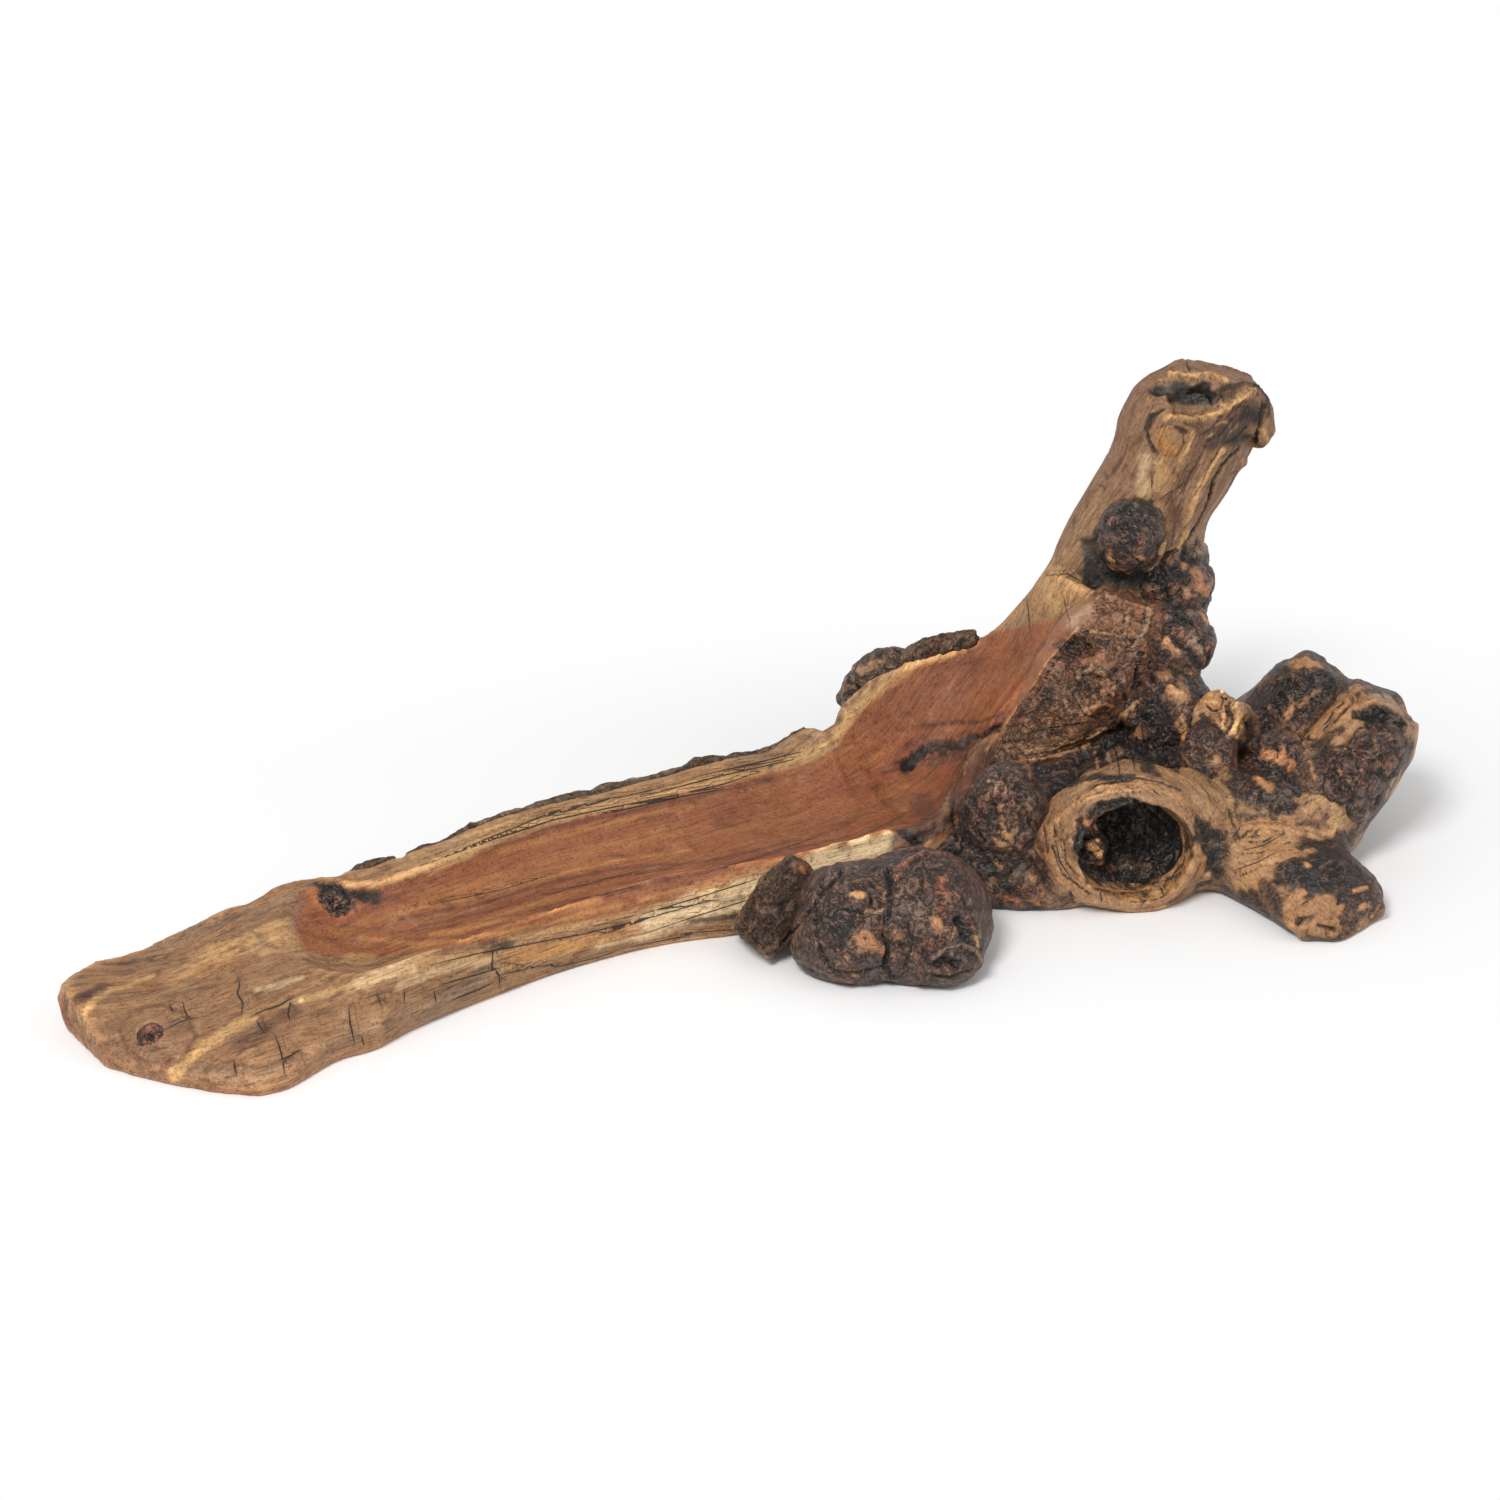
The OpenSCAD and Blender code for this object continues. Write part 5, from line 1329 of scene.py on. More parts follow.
PETAL_AND_PLATE_PATCHES = (
    ([(936, 964), (944, 960), (957, 964)], 12, SOOT_AND_SHADE, 0.98, -2.6, 0.4, dict(warp=0.3, only=PETAL_ROUND)),
    ([(934, 957), (945, 947), (960, 944), (974, 951), (980, 961)], 7, BARK_GREY, 0.75, 1.6,
     dict(only=PETAL_ROUND)),
    ([(932, 976), (950, 977), (972, 970)], 4, SOOT_AND_SHADE, 0.9, -0.8, dict(warp=0.3, only=PETAL_ROUND)),
    ([(800, 876), (780, 900), (760, 925)], 60, BARK, 0.92, 0, 0.25, dict(warp=0.4)),
    ([(800, 868), (820, 862), (838, 866)], 14, HEART_RED, 0.5, 0.4, dict(warp=0.7)),
    ([(780, 905), (765, 930)], 16, SOOT_AND_SHADE, 0.6, dict(warp=0.8)),
    ([(770, 940), (790, 948), (812, 962)], 14, BARK, 0.85, 0.3, dict(warp=0.6, only=None)),
    ([(812, 872), (808, 884)], 3, SOOT_AND_SHADE, 0.8, -0.8, dict(warp=0.35)),
    ([(842, 872), (822, 894), (800, 922), (780, 946)], 6, SOOT_AND_SHADE, 1.0, -2.6, dict(only=None)),
)

FRONT_BURL_CRACKS = (
    [(842, 915), (862, 918), (882, 912)],
    [(900, 880), (920, 868), (950, 872)],
    [(830, 925), (836, 945), (850, 965)],
    [(950, 885), (962, 898), (968, 915)],
    [(838, 878), (860, 872), (880, 878)],
    [(905, 905), (915, 925), (910, 945)],
    [(800, 905), (815, 885)],
    [(775, 930), (790, 915)],
    [(925, 930), (940, 940), (935, 950)],
    [(896, 860), (915, 850), (935, 846)],
    [(824, 900), (822, 920), (826, 940)],
    [(900, 968), (915, 975), (925, 985)],
)

BOSS_STREAKS = (
    ([(1045, 830), (1050, 870), (1080, 893), (1130, 899), (1180, 887), (1205, 862)], 26, ARM_TAN, 0.85, 0),
    ([(1036, 836), (1040, 866), (1052, 884)], 24, TIP_BROWN, 0.75, 0),
    ([(1040, 903), (1100, 908), (1190, 896)], 10, HEART, 0.6, 0),
    ([(1056, 822), (1076, 800), (1100, 788), (1140, 784), (1176, 796), (1200, 822)], 13, ARM_TAN, 0.8, 0.4),
    ([(1068, 806), (1096, 786), (1130, 780)], 4, UMBER, 0.7, -0.6),
    ([(1084, 800), (1110, 792), (1140, 790)], 5, ARM_LIGHT, 0.6, 0.5),
    ([(1060, 858), (1085, 885), (1130, 892), (1175, 880)], 4, HEART_GOLD, 0.7, 0.3),
    ([(1052, 846), (1062, 874), (1090, 894)], 4, TAN_DARK, 0.8, -0.4),
    ([(1044, 826), (1048, 852)], 4, UMBER, 0.6, -0.4),
    ([(1064, 840), (1066, 862), (1078, 878)], 3, TAN_DARK, 0.7, -0.3),
    ([(1092, 888), (1120, 894), (1150, 890)], 3, TAN_DARK, 0.7, -0.3),
    ([(1130, 884), (1170, 874), (1192, 850)], 12, ARM_LIGHT, 0.6, 0.3),
    ([(1186, 842), (1184, 862), (1170, 878)], 4, TAN_DARK, 0.7, -0.4),
    ([(1190, 810), (1204, 826)], 9, TAN_DARK, 0.7, 0),
    ([(1106, 902), (1108, 910)], 4, UMBER, 0.7, -0.5),
    ([(1144, 896), (1148, 906)], 4, UMBER, 0.6, -0.5),
    ([(1070, 892), (1074, 902)], 5, UMBER, 0.6, -0.5),
    ([(1040, 800), (1060, 786), (1080, 778)], 14, SOOT_AND_SHADE, 0.85, -0.5),
    ([(1042, 842), (1038, 872), (1046, 898), (1064, 908)], 24, TIP_BROWN, 0.85, 0),
    ([(1036, 850), (1034, 880)], 10, ARM_TAN, 0.6, 0),
    ([(1000, 898), (1036, 903)], 12, HEART, 0.6, 0),
    ([(1196, 886), (1216, 884)], 8, TAN_DARK, 0.6, 0),
    ([(1128, 776), (1160, 782), (1180, 790)], 5, UMBER, 0.7, -0.5),
)

BOSS_FRONT = (
    ([(1080, 902), (1120, 906), (1160, 902)], 18, ARM_LIGHT, 0.6, 0),
)

BOSS_CRACKS = (
    [(1056, 842), (1060, 862), (1074, 882)],
    [(1090, 786), (1112, 782), (1126, 786)],
    [(1150, 788), (1160, 796)],
    [(1196, 834), (1190, 852)],
    [(1100, 892), (1102, 902)],
    [(1160, 886), (1164, 896)],
    [(1046, 872), (1056, 888)],
    [(1200, 866), (1192, 880)],
)

HOLLOW_MOUTH = [(1078, 846), (1082, 822), (1100, 806), (1128, 801), (1156, 808), (1176, 826), (1180, 848),
                (1168, 868), (1140, 881), (1108, 878), (1088, 866), (1078, 846)]

HOLLOW_PATCHES = (
    (HOLLOW_MOUTH, 13, SOOT_AND_SHADE, 0.97, -1.5, 0.6, dict(warp=0.5)),
    ([(1100, 842), (1128, 842), (1160, 840)], 74, SOOT_AND_SHADE, 1.0, -1.0, 0.65, dict(edge=0.25)),
    ([(1086, 818), (1092, 836), (1098, 852)], 26, RUST, 0.85, 1.4, 0.7, dict(warp=0.8)),
    ([(1082, 838), (1104, 836)], 7, SOOT_AND_SHADE, 0.9, -0.8, 0.7, dict(warp=0.9)),
)

HOLLOW_SPECKS = (
    ([(1086, 822), (1094, 828)], 8, HEART_GOLD, 0.75, 0.8),
    ([(1092, 846), (1100, 854)], 9, HEART_GOLD, 0.75, 0.8),
    ([(1108, 818), (1112, 840)], 6, RUST, 0.75, 0.8),
    ([(1094, 844), (1104, 852)], 10, TAN_DARK, 0.75, 0.8),
    ([(1098, 840)], 6, EYE_TAN, 0.75, 0.8),
    ([(1100, 862), (1112, 868)], 8, RUST, 0.75, 0.8),
    # painted highlights: this row and the next are grey shine inside the black hollow
    ([(1120, 866), (1150, 866)], 6, BARK_GREY, 0.75, 0.8),
    ([(1160, 820), (1168, 840)], 6, BARK_GREY, 0.75, 0.8),
)

HOLLOW_SIDE = (
    ([(1202, 835), (1215, 850), (1222, 868)], 26, SOOT_AND_SHADE, 0.9, 0, 0.6),
)

ARM_PATCHES = (
    ([(1225, 740), (1262, 700), (1290, 672)], 40, BARK, 0.85, 0, 0.6),
    ([(1270, 700), (1290, 690), (1320, 684)], 40, SOOT_AND_SHADE, 0.75, 0, 0.7),
    ([(1294, 664), (1306, 662), (1316, 664)], 17, ARM_TAN, 0.95, 0.3, 0.3),
    ([(1296, 657), (1310, 655)], 6, TIP_BROWN, 0.7, 0, 0.3),
    ([(1286, 668), (1292, 674)], 8, BARK, 0.9, 0, 0.5),
    ([(1290, 676), (1300, 680)], 9, UMBER, 0.8, 0.9, 0.6),
    ([(1322, 672), (1334, 690)], 13, SOOT_AND_SHADE, 0.85, 0, 0.6),
    ([(1300, 706), (1310, 696), (1320, 691)], 9, TIP_BROWN, 0.8, 0.9, 0.4),
    ([(1294, 704), (1287, 716), (1284, 726)], 12, TAN_DARK, 0.95, 1.0, 0.4),
    ([(1292, 708), (1287, 718)], 8, ARM_TAN, 0.8, 0.3, 0.4),
    ([(1270, 708), (1276, 716)], 12, UMBER, 0.9, 1.0, 0.6),
    ([(1280, 694), (1286, 700)], 7, SOOT_AND_SHADE, 0.9, -0.9, 0.6),
    ([(1262, 724), (1276, 738), (1286, 742)], 16, SOOT_AND_SHADE, 0.92, -0.8, 0.7),
    ([(1304, 744), (1318, 728), (1336, 708), (1354, 692)], 24, ARM_TAN, 0.9, 0.6, 0.3),
    ([(1354, 692), (1378, 686), (1400, 690), (1410, 704), (1413, 724)], 15, TAN_DARK, 0.85, 0.7, 0.35),
    ([(1346, 716), (1362, 704), (1376, 698)], 14, ARM_TAN, 0.9, 0.5, 0.3),
    ([(1324, 726), (1340, 706), (1352, 694)], 3, UMBER, 0.85, -0.5, 0.3),
    ([(1316, 722), (1332, 704)], 3, TAN_DARK, 0.8, -0.4, 0.3),
    ([(1334, 722), (1348, 708)], 3, UMBER, 0.8, -0.5, 0.3),
    ([(1350, 688), (1356, 700)], 4, ARM_LIGHT, 0.6, 0.3, 0.3),
    ([(1378, 690), (1384, 698)], 3, UMBER, 0.6, -0.3, 0.3),
    ([(1309, 739)], 9, SOOT_AND_SHADE, 0.95, -1.2, 0.4),
    ([(1300, 738), (1306, 752), (1304, 770), (1312, 786)], 24, TAN_DARK, 0.8, 0.5, 0.4),
    ([(1296, 752), (1300, 772)], 6, UMBER, 0.7, -0.5, 0.4),
    ([(1316, 748), (1330, 736), (1340, 730)], 12, UMBER, 0.8, 0, 0.4),
    ([(1310, 762), (1316, 782)], 6, ARM_TAN, 0.6, 0.4, 0.4),
    ([(1366, 712), (1384, 714), (1400, 722)], 24, SOOT_AND_SHADE, 0.98, -2.6, 0.6),
    ([(1376, 724), (1390, 736), (1400, 746)], 22, SOOT_AND_SHADE, 0.95, -0.8, 0.75),
    ([(1380, 716), (1388, 722)], 5, BARK_GREY, 0.7, 0.6, 0.6),
    ([(1398, 752), (1394, 770), (1386, 786)], 20, BARK, 0.9, 0, 0.75),
    ([(1403, 762), (1396, 780), (1388, 796)], 7, TAN_DARK, 0.8, 0, 0.4),
    ([(1372, 756), (1376, 774)], 9, BARK_GREY, 0.7, 0.5, 0.6),
    ([(1376, 780), (1372, 806), (1366, 826)], 20, UMBER, 0.9, 0, 0.6),
    ([(1358, 800), (1362, 820), (1352, 842)], 18, BARK, 0.85, 0.4, 0.6),
    ([(1346, 838), (1344, 856), (1350, 870)], 18, BARK, 0.9, 0, 0.6),
    ([(1336, 862), (1342, 870)], 11, UMBER, 0.9, 0.9, 0.6),
    ([(1244, 792), (1262, 800), (1284, 806)], 26, SOOT_AND_SHADE, 0.8, 0, 0.9),
    # painted sheen: a grey streak on the dark region of the arm
    ([(1270, 792), (1292, 796)], 12, BARK_GREY, 0.5, 0, 0.95),
    ([(1240, 770), (1246, 792)], 16, BARK, 0.85, 0, 0.6),
    ([(1290, 782), (1298, 792)], 12, SOOT_AND_SHADE, 0.85, -0.5, 0.7),
    ([(1238, 828), (1262, 826), (1288, 826)], 24, ARM_TAN, 0.95, 0.5, 0.3),
    ([(1234, 846), (1258, 846), (1284, 838)], 26, ARM_TAN, 0.95, 0, 0.3),
    ([(1232, 866), (1256, 868), (1280, 858), (1306, 850)], 20, ARM_TAN, 0.92, 0, 0.3),
    ([(1236, 884), (1254, 884), (1268, 876)], 12, ARM_TAN, 0.85, 0, 0.3),
    ([(1240, 838), (1256, 824), (1280, 824), (1284, 834), (1262, 842), (1246, 842)], 3, TAN_DARK, 0.6, -0.3,
     0.3),
    ([(1250, 834), (1268, 832)], 6, STRAW, 0.6, 0.3, 0.3),
    ([(1236, 854), (1262, 852), (1290, 842)], 3, TAN_DARK, 0.6, -0.3, 0.3),
    ([(1240, 876), (1262, 866), (1284, 862)], 3, HEART_RED, 0.5, -0.3, 0.3),
    ([(1204, 830), (1214, 848), (1222, 866)], 30, SOOT_AND_SHADE, 0.94, 0, 0.6),
    ([(1264, 884), (1276, 902), (1284, 918)], 14, BARK, 0.85, 0, 0.4),
    ([(1262, 896), (1280, 920), (1296, 934)], 7, TAN_DARK, 0.8, 0, 0.3),
    ([(1284, 874), (1310, 862), (1336, 854)], 26, SOOT_AND_SHADE, 0.93, 0, 0.7),
    ([(1300, 886), (1330, 880), (1352, 872)], 24, SOOT_AND_SHADE, 0.88, 0, 0.7),
    ([(1300, 848), (1330, 842)], 10, SOOT_AND_SHADE, 0.8, 0, 0.7),
    ([(1307, 865)], 9, ARM_TAN, 0.95, 0.3, 0.3),
    ([(1276, 872), (1290, 888)], 8, TAN_DARK, 0.5, 0.3, 0.3),
    ([(1320, 868), (1330, 862)], 3, GREY_BROWN, 0.6, 0.3, 0.8),
    ([(1292, 898), (1302, 892)], 13, ARM_TAN, 0.95, 0.3, 0.3),
    ([(1294, 908), (1316, 902), (1336, 908)], 22, ARM_TAN, 0.95, 0, 0.3),
    ([(1340, 892), (1338, 904)], 4, SOOT_AND_SHADE, 0.8, -0.3, 0.4),
    ([(1296, 930), (1316, 928), (1336, 926)], 24, ARM_TAN, 0.92, 0, 0.3),
    ([(1286, 910), (1292, 926)], 12, ARM_TAN, 0.85, 0, 0.3),
    ([(1312, 910), (1320, 916)], 9, ARM_LIGHT, 0.5, 0, 0.3),
    ([(1299, 922)], 11, UMBER, 0.9, -0.8, 0.3),
    ([(1318, 925), (1334, 929)], 5, UMBER, 0.85, -0.6, 0.3),
    ([(1340, 918), (1346, 932)], 6, UMBER, 0.7, -0.4, 0.4),
    ([(1348, 894), (1364, 902), (1378, 900)], 26, BARK, 0.9, 0, 0.6),
    ([(1354, 891), (1366, 888)], 6, ARM_TAN, 0.85, 0.6, 0.3),
    ([(1374, 892), (1384, 892)], 6, TAN_DARK, 0.85, 0.6, 0.3),
    ([(1361, 908), (1368, 906)], 10, ARM_TAN, 0.8, 0.7, 0.3),
    ([(1350, 916), (1356, 926)], 8, TAN_DARK, 0.8, 0.3, 0.3),
    ([(1378, 906), (1372, 916)], 7, ARM_TAN, 0.7, 0.4, 0.3),
    ([(1266, 760)], 14, SOOT_AND_SHADE, 0.7, 0, 0.6),
    ([(1240, 790), (1256, 780)], 10, UMBER, 0.8, 0, 0.6),
)

ARM_CRACKS = (
    [(1244, 850), (1262, 846), (1280, 836)],
    [(1236, 870), (1258, 862), (1276, 852)],
    [(1232, 838), (1240, 828)],
    [(1300, 906), (1312, 898)],
    [(1306, 936), (1308, 928)],
    [(1326, 938), (1326, 930)],
    [(1342, 912), (1350, 918)],
    [(1330, 716), (1342, 700)],
    [(1322, 732), (1330, 722)],
    [(1392, 692), (1396, 700)],
)

ARM_ENDS = (
    ([(1240, 868), (1262, 850), (1282, 838)], 40, ARM_LIGHT, 0.55, 0, dict(warp=0.6)),
    ([(1300, 830), (1318, 836), (1334, 824)], 14, ARM_LIGHT, 0.7, 0, dict(warp=0.6)),
    ([(1360, 704), (1380, 698)], 22, TIP_BROWN, 0.55, 0, dict(warp=0.8)),
    ([(1306, 812), (1318, 804), (1332, 812), (1328, 832), (1312, 832)], 20, ARM_LIGHT, 0.9, 0.5,
     dict(warp=0.5, edge=0.8)),
    ([(1318, 817)], 28, TIP_BROWN, 0.85, 0.6, dict(warp=0.5, edge=0.9)),
    ([(1317, 816)], 13, EYE_TAN, 0.6, 0.2, dict(warp=0.6, edge=0.7)),
    ([(1302, 802), (1314, 796), (1332, 800), (1340, 814), (1332, 834)], 6, TAN_LIGHT, 0.55, 0.3,
     dict(warp=0.6, edge=0.9)),
    ([(1319, 818), (1326, 812)], 13, TIP_BROWN, 0.8, 0.2, dict(edge=0.9)),
    ([(1296, 800), (1306, 796)], 8, HEART_GOLD, 0.6, 0.4),
    ([(1266, 756), (1280, 756), (1290, 764)], 16, HEART, 0.85, 1.0, 0.6, dict(only=KNOB)),
    ([(1268, 757), (1282, 760)], 10, HEART_GOLD, 0.6, 0.4, 0.6, dict(only=KNOB)),
    ([(1258, 779), (1268, 786)], 13, HEART_GOLD, 0.85, 0.8, 0.6, dict(only=KNOB)),
    ([(1268, 770), (1284, 776)], 5, SOOT_AND_SHADE, 0.9, -1.0, 0.6, dict(only=KNOB)),
    ([(1365, 742)], 30, UMBER, 0.8, 0.5, 0.5, dict(warp=0.5, only=ARM_EYE)),
    ([(1356, 736), (1364, 730), (1374, 734), (1376, 746)], 5, TAN_DARK, 0.8, 0.7, 0.4, dict(only=None)),
    ([(1366, 742)], 6, SOOT_AND_SHADE, 0.8, -0.8, dict(only=None)),
    ([(1341, 773)], 54, UMBER, 0.7, -0.6, 0.5, dict(warp=0.5, only=None)),
    ([(1332, 767), (1343, 761), (1353, 771), (1349, 785), (1335, 785)], 6, BARK, 0.8, 0.8, 0.6,
     dict(only=None)),
    ([(1341, 773)], 10, HEART, 0.7, 0.8, 0.6, dict(warp=0.9, only=None)),
    ([(1343, 777)], 4, SOOT_AND_SHADE, 0.9, -0.8, dict(only=None)),
)

TWIG_PATCHES = (
    ([(1216, 700), (1232, 716), (1246, 728)], 60, TAN, 0.8, dict(warp=0.5)),
    ([(1213, 702)], 27, HEART_GOLD, 0.8, 0.8, 0.4, dict(warp=0.4)),
    ([(1213, 702)], 11, STRAW, 0.7, 0.4, 0.4, dict(warp=0.4)),
    ([(1206, 694), (1216, 692), (1223, 699), (1221, 709), (1212, 711), (1206, 704)], 3, RUST, 0.7, -0.6),
    ([(1230, 696), (1228, 708), (1232, 722), (1226, 734)], 6, TAN_DARK, 0.85, -1.2),
    ([(1236, 704), (1238, 718), (1234, 732)], 9, STRAW, 0.8, 0.9),
    ([(1247, 708)], 13, BARK_GREY, 0.8, 1.2, 0.4, dict(warp=0.5)),
    ([(1243, 718), (1248, 728)], 4, UMBER, 0.8, -0.8),
)

TWIG_SPECKS = (
    ([(1204, 692), (1212, 688), (1222, 692)], 5, CREAM, 0.85, 0.8),
    ([(1224, 714), (1222, 726)], 7, ARM_LIGHT, 0.85, 0.9),
    ([(1232, 692), (1226, 698)], 4, SOOT_AND_SHADE, 0.85, -1.6),
    ([(1210, 718), (1216, 726)], 6, ORANGE, 0.85, 0.7),
    ([(1240, 726), (1236, 738)], 7, ARM_LIGHT, 0.85, 0.9),
    ([(1252, 704), (1254, 714)], 5, UMBER, 0.85, -0.8),
    ([(1226, 706), (1228, 720)], 3, SOOT_AND_SHADE, 0.85, -1.2),
    ([(1244, 700), (1250, 702)], 6, TAN_LIGHT, 0.85, 0.8),
)

TWIG_FOOT = (
    ([(1204, 716), (1216, 726), (1228, 740), (1240, 744)], 9, UMBER, 0.85, -0.6),
    ([(1250, 720), (1252, 740), (1244, 752)], 16, BARK, 0.9, 0, 0.6, dict(warp=0.6)),
    ([(1210, 757), (1224, 772)], 18, TAN, 0.65, 0, 0.5),
    ([(1215, 780), (1230, 775)], 8, TAN_LIGHT, 0.5, 0, 0.5),
    ([(1195, 745), (1230, 750)], 18, UMBER, 0.7, 0, 0.7, dict(warp=0.6)),
)


def mark_tip():
    strokes(TIP_STREAKS, warp=0.7)
    strokes(TIP_EYE, warp=0.6)
    cracks(TIP_CRACKS)
    crack(TIP_SPLIT, 2.2, 0.5)
    crack(LIP_SPLIT, 1.8)
    crack(LOW_SPLIT, 2.0)


def mark_front():
    strokes(FRONT_STREAKS, warp=0.6, only=LIMB)
    strokes(FRONT_SPECK, only=LIMB)
    cracks(FRONT_CRACKS, 1.1, 0.2)


def mark_trough():
    wall_tone = blend(HEART_RED, UMBER, ramp(project(limbs.place)[:, 0], *WALL_FADE))
    plane(limbs, SCOOP_WALL, wall_tone, gloss=0.3, soften=6.0, times=70)
    sight.renew(skins)
    strokes(TROUGH_STREAKS, warp=0.5, edge=0.9, only=LIMB)
    strokes(RIM_STREAKS, warp=0.3, only=LIMB)
    cracks(RIM_CRACKS, 1.3, 0.2)
    cracks(FLOOR_CRACKS, 0.7, 0.3)
    strokes(TROUGH_ENDS, warp=0.6)


def mark_stem():
    strokes(STEM_STREAKS, warp=0.55, edge=0.8)
    strokes(STEM_TOP_AND_NECK, warp=0.5)
    cracks(STEM_CRACKS, 1.2, 0.25)


def mark_crown():
    inner = skins["ridge_slab"]
    plane(inner, SLAB_FACE, TAN, gloss=0.2)
    lower_tone = blend(HEART, HEART_RED, ramp(fractal(inner.place, (20, 20, 60), 3, 81), -0.3, 0.4))
    plane(inner, SLAB_LOWER_FACE, lower_tone, gloss=0.28)
    sight.renew(skins)
    strokes(SLAB_PATCHES, warp=0.9, only=SLAB)
    strokes(CROWN_PATCHES, warp=0.9)
    cracks(CROWN_CRACKS, 1.6, 0.3)


def mark_glints():
    """Painted highlights as small tan, orange and grey spots, with black pits and shiny black patches among
    the burls right of the slab.
    """
    strokes(GLINTS, warp=1.0, edge=0.9)


def mark_hump():
    strokes(HUMP_PATCHES, warp=0.6, only=HUMP)


def mark_middle():
    strokes(MIDDLE_PATCHES, gloss=0.75, warp=0.8)


def mark_front_burl():
    strokes(FRONT_BURL_PATCHES, gloss=0.45, warp=0.6)
    strokes(PETAL_AND_PLATE_PATCHES, warp=0.25, only=PLATE)
    cracks(FRONT_BURL_CRACKS, 1.4, 0.3)


def mark_hollow():
    strokes(BOSS_STREAKS, warp=0.6, edge=0.8, only=ROOT)
    strokes(BOSS_FRONT, warp=0.8, only=ROOT)
    cracks(BOSS_CRACKS, 1.2, 0.3)
    strokes(HOLLOW_PATCHES, warp=0.2)
    strokes(HOLLOW_SPECKS, gloss=0.5, warp=0.8)
    strokes(HOLLOW_SIDE, warp=0.6)


def mark_arms():
    strokes(ARM_PATCHES, warp=0.7, only=ROOT)
    cracks(ARM_CRACKS, 1.0, 0.3)
    strokes(ARM_ENDS, warp=0.7, only=ROOT)


def mark_twig():
    strokes(TWIG_PATCHES, warp=0.7, only=TWIG)
    strokes(TWIG_SPECKS, gloss=0.4, warp=0.9, edge=0.9, only=TWIG)
    strokes(TWIG_FOOT, warp=0.8)


for mark in (mark_tip, mark_front, mark_trough, mark_stem, mark_crown, mark_glints, mark_hump, mark_middle,
             mark_front_burl, mark_hollow, mark_arms, mark_twig):
    mark()


def tint(skin, shade_by, share):
    """Multiplies the tone by a tint, where and as far as the share says."""
    skin.tone = skin.tone * blend(np.ones(3), np.array(shade_by), share)


SCOOP_TINT, STEM_TINT, SLAB_TINT = [0.97, 0.84, 0.72], [0.86, 0.84, 0.8], [1.2, 1.14, 1.04]
TIP_SHADE, TIP_SHINE = [0.84, 0.78, 0.72], [1.14, 1.12, 1.08]


def balance():
    """Evens the tones of the big surfaces: redder scoop, darker stem, lighter slab and tip."""
    seen = project(limbs.place)
    heart = ramp(inside(seen, HEARTWOOD_OUTLINE), -2, 2) * (facing(limbs) > 0.05)
    tint(limbs, SCOOP_TINT, heart * (0.25 + 0.75 * ramp(seen[:, 0], *SCOOP_FADE)))
    tint(limbs, STEM_TINT, LIMB_ZONE["raised_stem"] * ramp(limbs.place[:, 2], 60, 80))
    end = ramp(-seen[:, 0], -TIP_FADE[1], -TIP_FADE[0])
    swell = fractal(limbs.grain, (45, 7, 7), 3, 91)
    tint(limbs, TIP_SHADE, end * ramp(swell, 0.0, 0.45))
    tint(limbs, TIP_SHINE, end * ramp(-swell, 0.05, 0.5))
    slab = skins["ridge_slab"]
    slab.paint(TIP_BROWN * 0.62, np.full(len(slab.tone), 0.4))
    slab.tone *= np.array(SLAB_TINT)


def paint_hollow_shade_and_bump_light(skin):
    """Paints shade into the hollows and lightens the bumps of the carved skin, partly as worn edges and
    partly as painted light.
    """
    skin.refresh()
    for times, span in ((3, 0.12), (14, 0.5)):
        sunk = ((skin.averaged(skin.place, times) - skin.place) * skin.normal).sum(1) / span
        share = 0.35 if skin is limbs else 0.6
        # painted shade on the sunken points; the raised points are lightened, partly as worn edges and partly
        # as painted light
        skin.paint(SOOT_AND_SHADE, ramp(sunk, 0.15, 1.2) * share)
        skin.tone = skin.tone * (1 + 0.35 * ramp(-sunk, 0.2, 1.4))[:, None]


balance()
for s in skins.values():
    paint_hollow_shade_and_bump_light(s)


# ---- materials ----
class Nodes:
    """The nodes of a material or of the world."""

    def __init__(self, owner):
        owner.use_nodes = True
        self.nodes, self.links = owner.node_tree.nodes, owner.node_tree.links

    def node(self, kind, **settings):
        node = self.nodes.new(kind)
        for key, value in settings.items():
            if key in node.inputs:
                node.inputs[key].default_value = value
            else:
                setattr(node, key, value)
        return node

    def join(self, source, target):
        if isinstance(source, bpy.types.NodeSocket):
            self.links.new(source, target)
        else:
            target.default_value = source

    def math(self, operation, a, b=0.0, clamp=False):
        node = self.node("ShaderNodeMath", operation=operation, use_clamp=clamp)
        self.join(a, node.inputs[0])
        self.join(b, node.inputs[1])
        return node.outputs[0]

    def times(self, a, b):
        return self.math("MULTIPLY", a, b)

    def window(self, value, low, high):
        node = self.node("ShaderNodeMapRange", interpolation_type="SMOOTHSTEP")
        self.links.new(value, node.inputs["Value"])
        node.inputs["From Min"].default_value, node.inputs["From Max"].default_value = low, high
        return node.outputs["Result"]

    def seen_by_eye(self):
        """1 for what the camera sees, straight or in gloss, and 0 for what lights the object."""
        path = self.node("ShaderNodeLightPath").outputs
        value = path["Is Camera Ray"]
        for name in ("Is Glossy Ray", "Is Transmission Ray"):
            value = self.math("MAXIMUM", value, path[name])
        return value

    def show(self, amount, soft, white, output):
        """Sends a mix of two shaders to the output node."""
        mix = self.node("ShaderNodeMixShader")
        for source, target in zip((amount, soft, white), mix.inputs):
            self.links.new(source, target)
        self.links.new(mix.outputs[0], self.nodes[output].inputs["Surface"])


